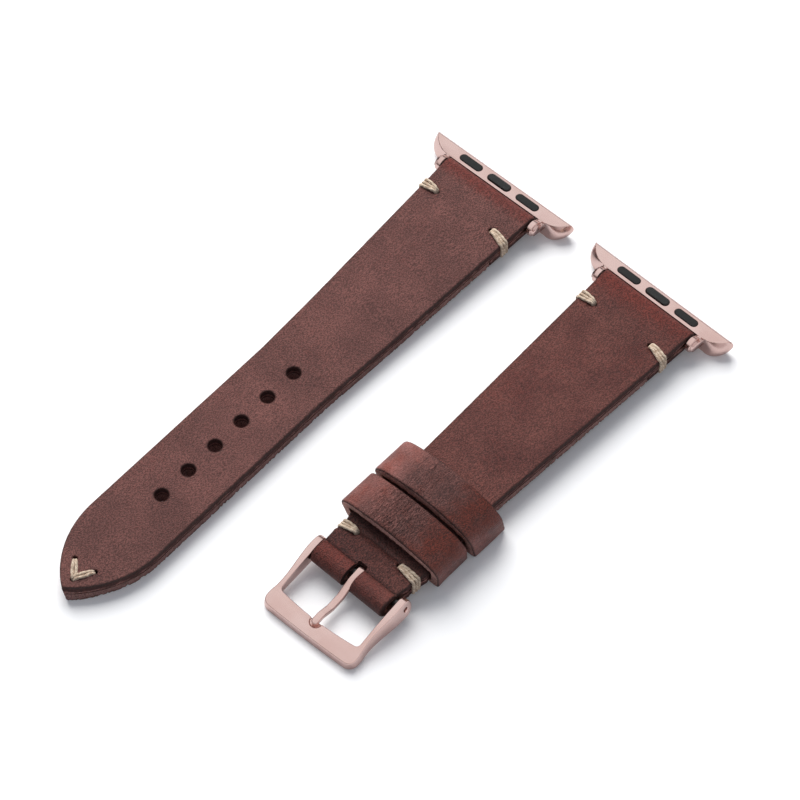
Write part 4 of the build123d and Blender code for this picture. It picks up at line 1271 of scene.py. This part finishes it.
FRAME_BEVEL = 0.22 * MM
TONGUE_BEVEL = 0.38 * MM
ADAPTER_BEVEL = 0.16 * MM
TONGUE_WIDTH_SHARE = 0.84
EAR_REACH = 2.6 * MM
FLAT_ANGLE = 0.5
SHARP_ANGLE = 32
SATIN = 0.05 * MM
SATIN_DEPTH = 0.002 * MM
DRIFT = 7 * MM
SMEAR = 1.6 * MM


def softened(node, name, width, body, material, width_share=1.0, start=-1.0):
    """Copy of a moulded or machined piece, narrowed, with its sharp edges past a start broken."""
    copy = bmesh.new()
    copy.from_mesh(frame["nodes"][node].data)
    bmesh.ops.remove_doubles(copy, verts=copy.verts, dist=FINE_WELD * MM)
    bmesh.ops.dissolve_limit(
        copy, angle_limit=math.radians(FLAT_ANGLE), verts=copy.verts, edges=copy.edges,
    )
    sharp = [
        edge for edge in copy.edges
        if len(edge.link_faces) == 2 and edge.calc_face_angle() > math.radians(SHARP_ANGLE)
        and min(vert.co.x for vert in edge.verts) > start
    ]
    bmesh.ops.bevel(
        copy, geom=sharp, offset=width, affect="EDGES", segments=4, profile=0.5, material=-1,
        clamp_overlap=False,
    )
    middle = sum((vert.co.y for vert in copy.verts), 0) / len(copy.verts)
    for vert in copy.verts:
        vert.co.y = middle + (vert.co.y - middle) * width_share
    return finished(name, copy, body, [node], [material], 50)


rose = Surface("satin_rose_plate", Metallic=1)
satin = rose.cloud(SATIN, 3)
drift = rose.cloud(DRIFT, 3)
smear = rose.cloud(SMEAR, 2)
pink = rose.mix(rose.fade(drift, 0.35, 0.65), paint("e0c0b9"), paint("e6c9c3"))
ROSE_METAL = rose.wear(
    Base_Color=pink, Roughness=0.15 + satin * 0.06 + smear * 0.06, Normal=rose.bump(satin, SATIN_DEPTH)
)
softened("buckle_frame", "buckle_frame_plated", FRAME_BEVEL, "buckle_frame", ROSE_METAL)
softened(
    "buckle_tongue", "buckle_tongue_plated", TONGUE_BEVEL, "buckle_tongue", ROSE_METAL,
    TONGUE_WIDTH_SHARE,
)
for half in ("short", "long"):
    low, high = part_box(f"{half}_lug_bar_tube")
    softened(
        f"{half}_adapter_body", f"{half}_adapter_plated", ADAPTER_BEVEL, f"{half}_adapter",
        ROSE_METAL, 1, (low.x + high.x) / 2 + EAR_REACH,
    )


# Spring bars and latches: coils of bar steel, hidden in the tubes and under the middle pads. Each bar's coil
# is split into two halves, one toward each tip, and each latch's coil gets a mesh of its own.

TIP_TRAVEL = 0.9 * MM
TURNING = 0.2 * MM
TURNING_DEPTH = 0.003 * MM

steel = Surface("bar_steel", Metallic=1)
turned = steel.cloud(TURNING, 3, ((0, 0, 0), (1, 0.1, 1)))
BAR_STEEL = steel.wear(
    Base_Color=steel.mix(turned, paint("4d4b4b"), paint("6d6a69")), Roughness=0.25 + turned * 0.15,
    Normal=steel.bump(turned, TURNING_DEPTH),
)

for bar in ("buckle_bar", "short_lug_bar", "long_lug_bar"):
    node = f"{bar}_spring"
    body = body_of(frame["nodes"][node])[0]
    middle = centre(node)
    for side in ("left", "right"):
        outward = (centre(f"{bar}_tip_{side}") - middle).normalized()
        coil = bmesh.new()
        coil.from_mesh(frame["nodes"][node].data)
        bmesh.ops.bisect_plane(
            coil, geom=coil.verts[:] + coil.edges[:] + coil.faces[:], plane_co=middle,
            plane_no=outward, clear_inner=True,
        )
        reach = max((vert.co - middle).dot(outward) for vert in coil.verts)
        wound = finished(f"{node}_{side}", coil, body, [node], [BAR_STEEL])
        1 - TIP_TRAVEL / reach
        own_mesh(wound)
for half in ("short", "long"):
    node = f"{half}_latch_spring"
    low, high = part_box(node)
    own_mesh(frame["nodes"][node])


# Pads: three black rubber pills set in each adapter. The outer two are matte, with edges rounded by
# the mould, and the glossy middle one is the latch's button.

PAD_BEVEL = 0.28 * MM
PAD_DUST = 0.15 * MM
PAD_MATTE = 0.6 * MM
PAD_DEPTH = 0.01 * MM
BUTTON_DUST = 0.3 * MM
BUTTON_DEPTH = 0.003 * MM

rubber = Surface("pad_rubber", Specular_IOR_Level=0.4)
dust = rubber.cloud(PAD_DUST, 3)
matte = rubber.cloud(PAD_MATTE, 2)
PAD_RUBBER = rubber.wear(
    Base_Color=rubber.mix(dust, paint("101010"), paint("1a1b1a")), Roughness=0.38 + dust * 0.15,
    Normal=rubber.bump(dust + matte, PAD_DEPTH),
)
gloss = Surface("latch_rubber", Specular_IOR_Level=0.5)
gloss_dust = gloss.cloud(BUTTON_DUST, 2)
LATCH_RUBBER = gloss.wear(
    Base_Color=gloss.mix(gloss_dust, paint("0c0d0d"), paint("141514")), Roughness=0.2 + gloss_dust * 0.1,
    Normal=gloss.bump(gloss_dust, BUTTON_DEPTH),
)
for half in ("short", "long"):
    for side in ("left", "right"):
        softened(
            f"{half}_adapter_pad_{side}", f"{half}_adapter_pad_{side}_moulded", PAD_BEVEL,
            f"{half}_adapter", PAD_RUBBER,
        )
# Every solid that nothing above stands for shows as it is: the buttons in rubber, the rest in steel
for name, node in frame["nodes"].items():
    if node.hide_render:
        continue
    finish = LATCH_RUBBER if name.endswith("latch_button") else BAR_STEEL
    node.data.materials.clear()
    node.data.materials.append(finish)
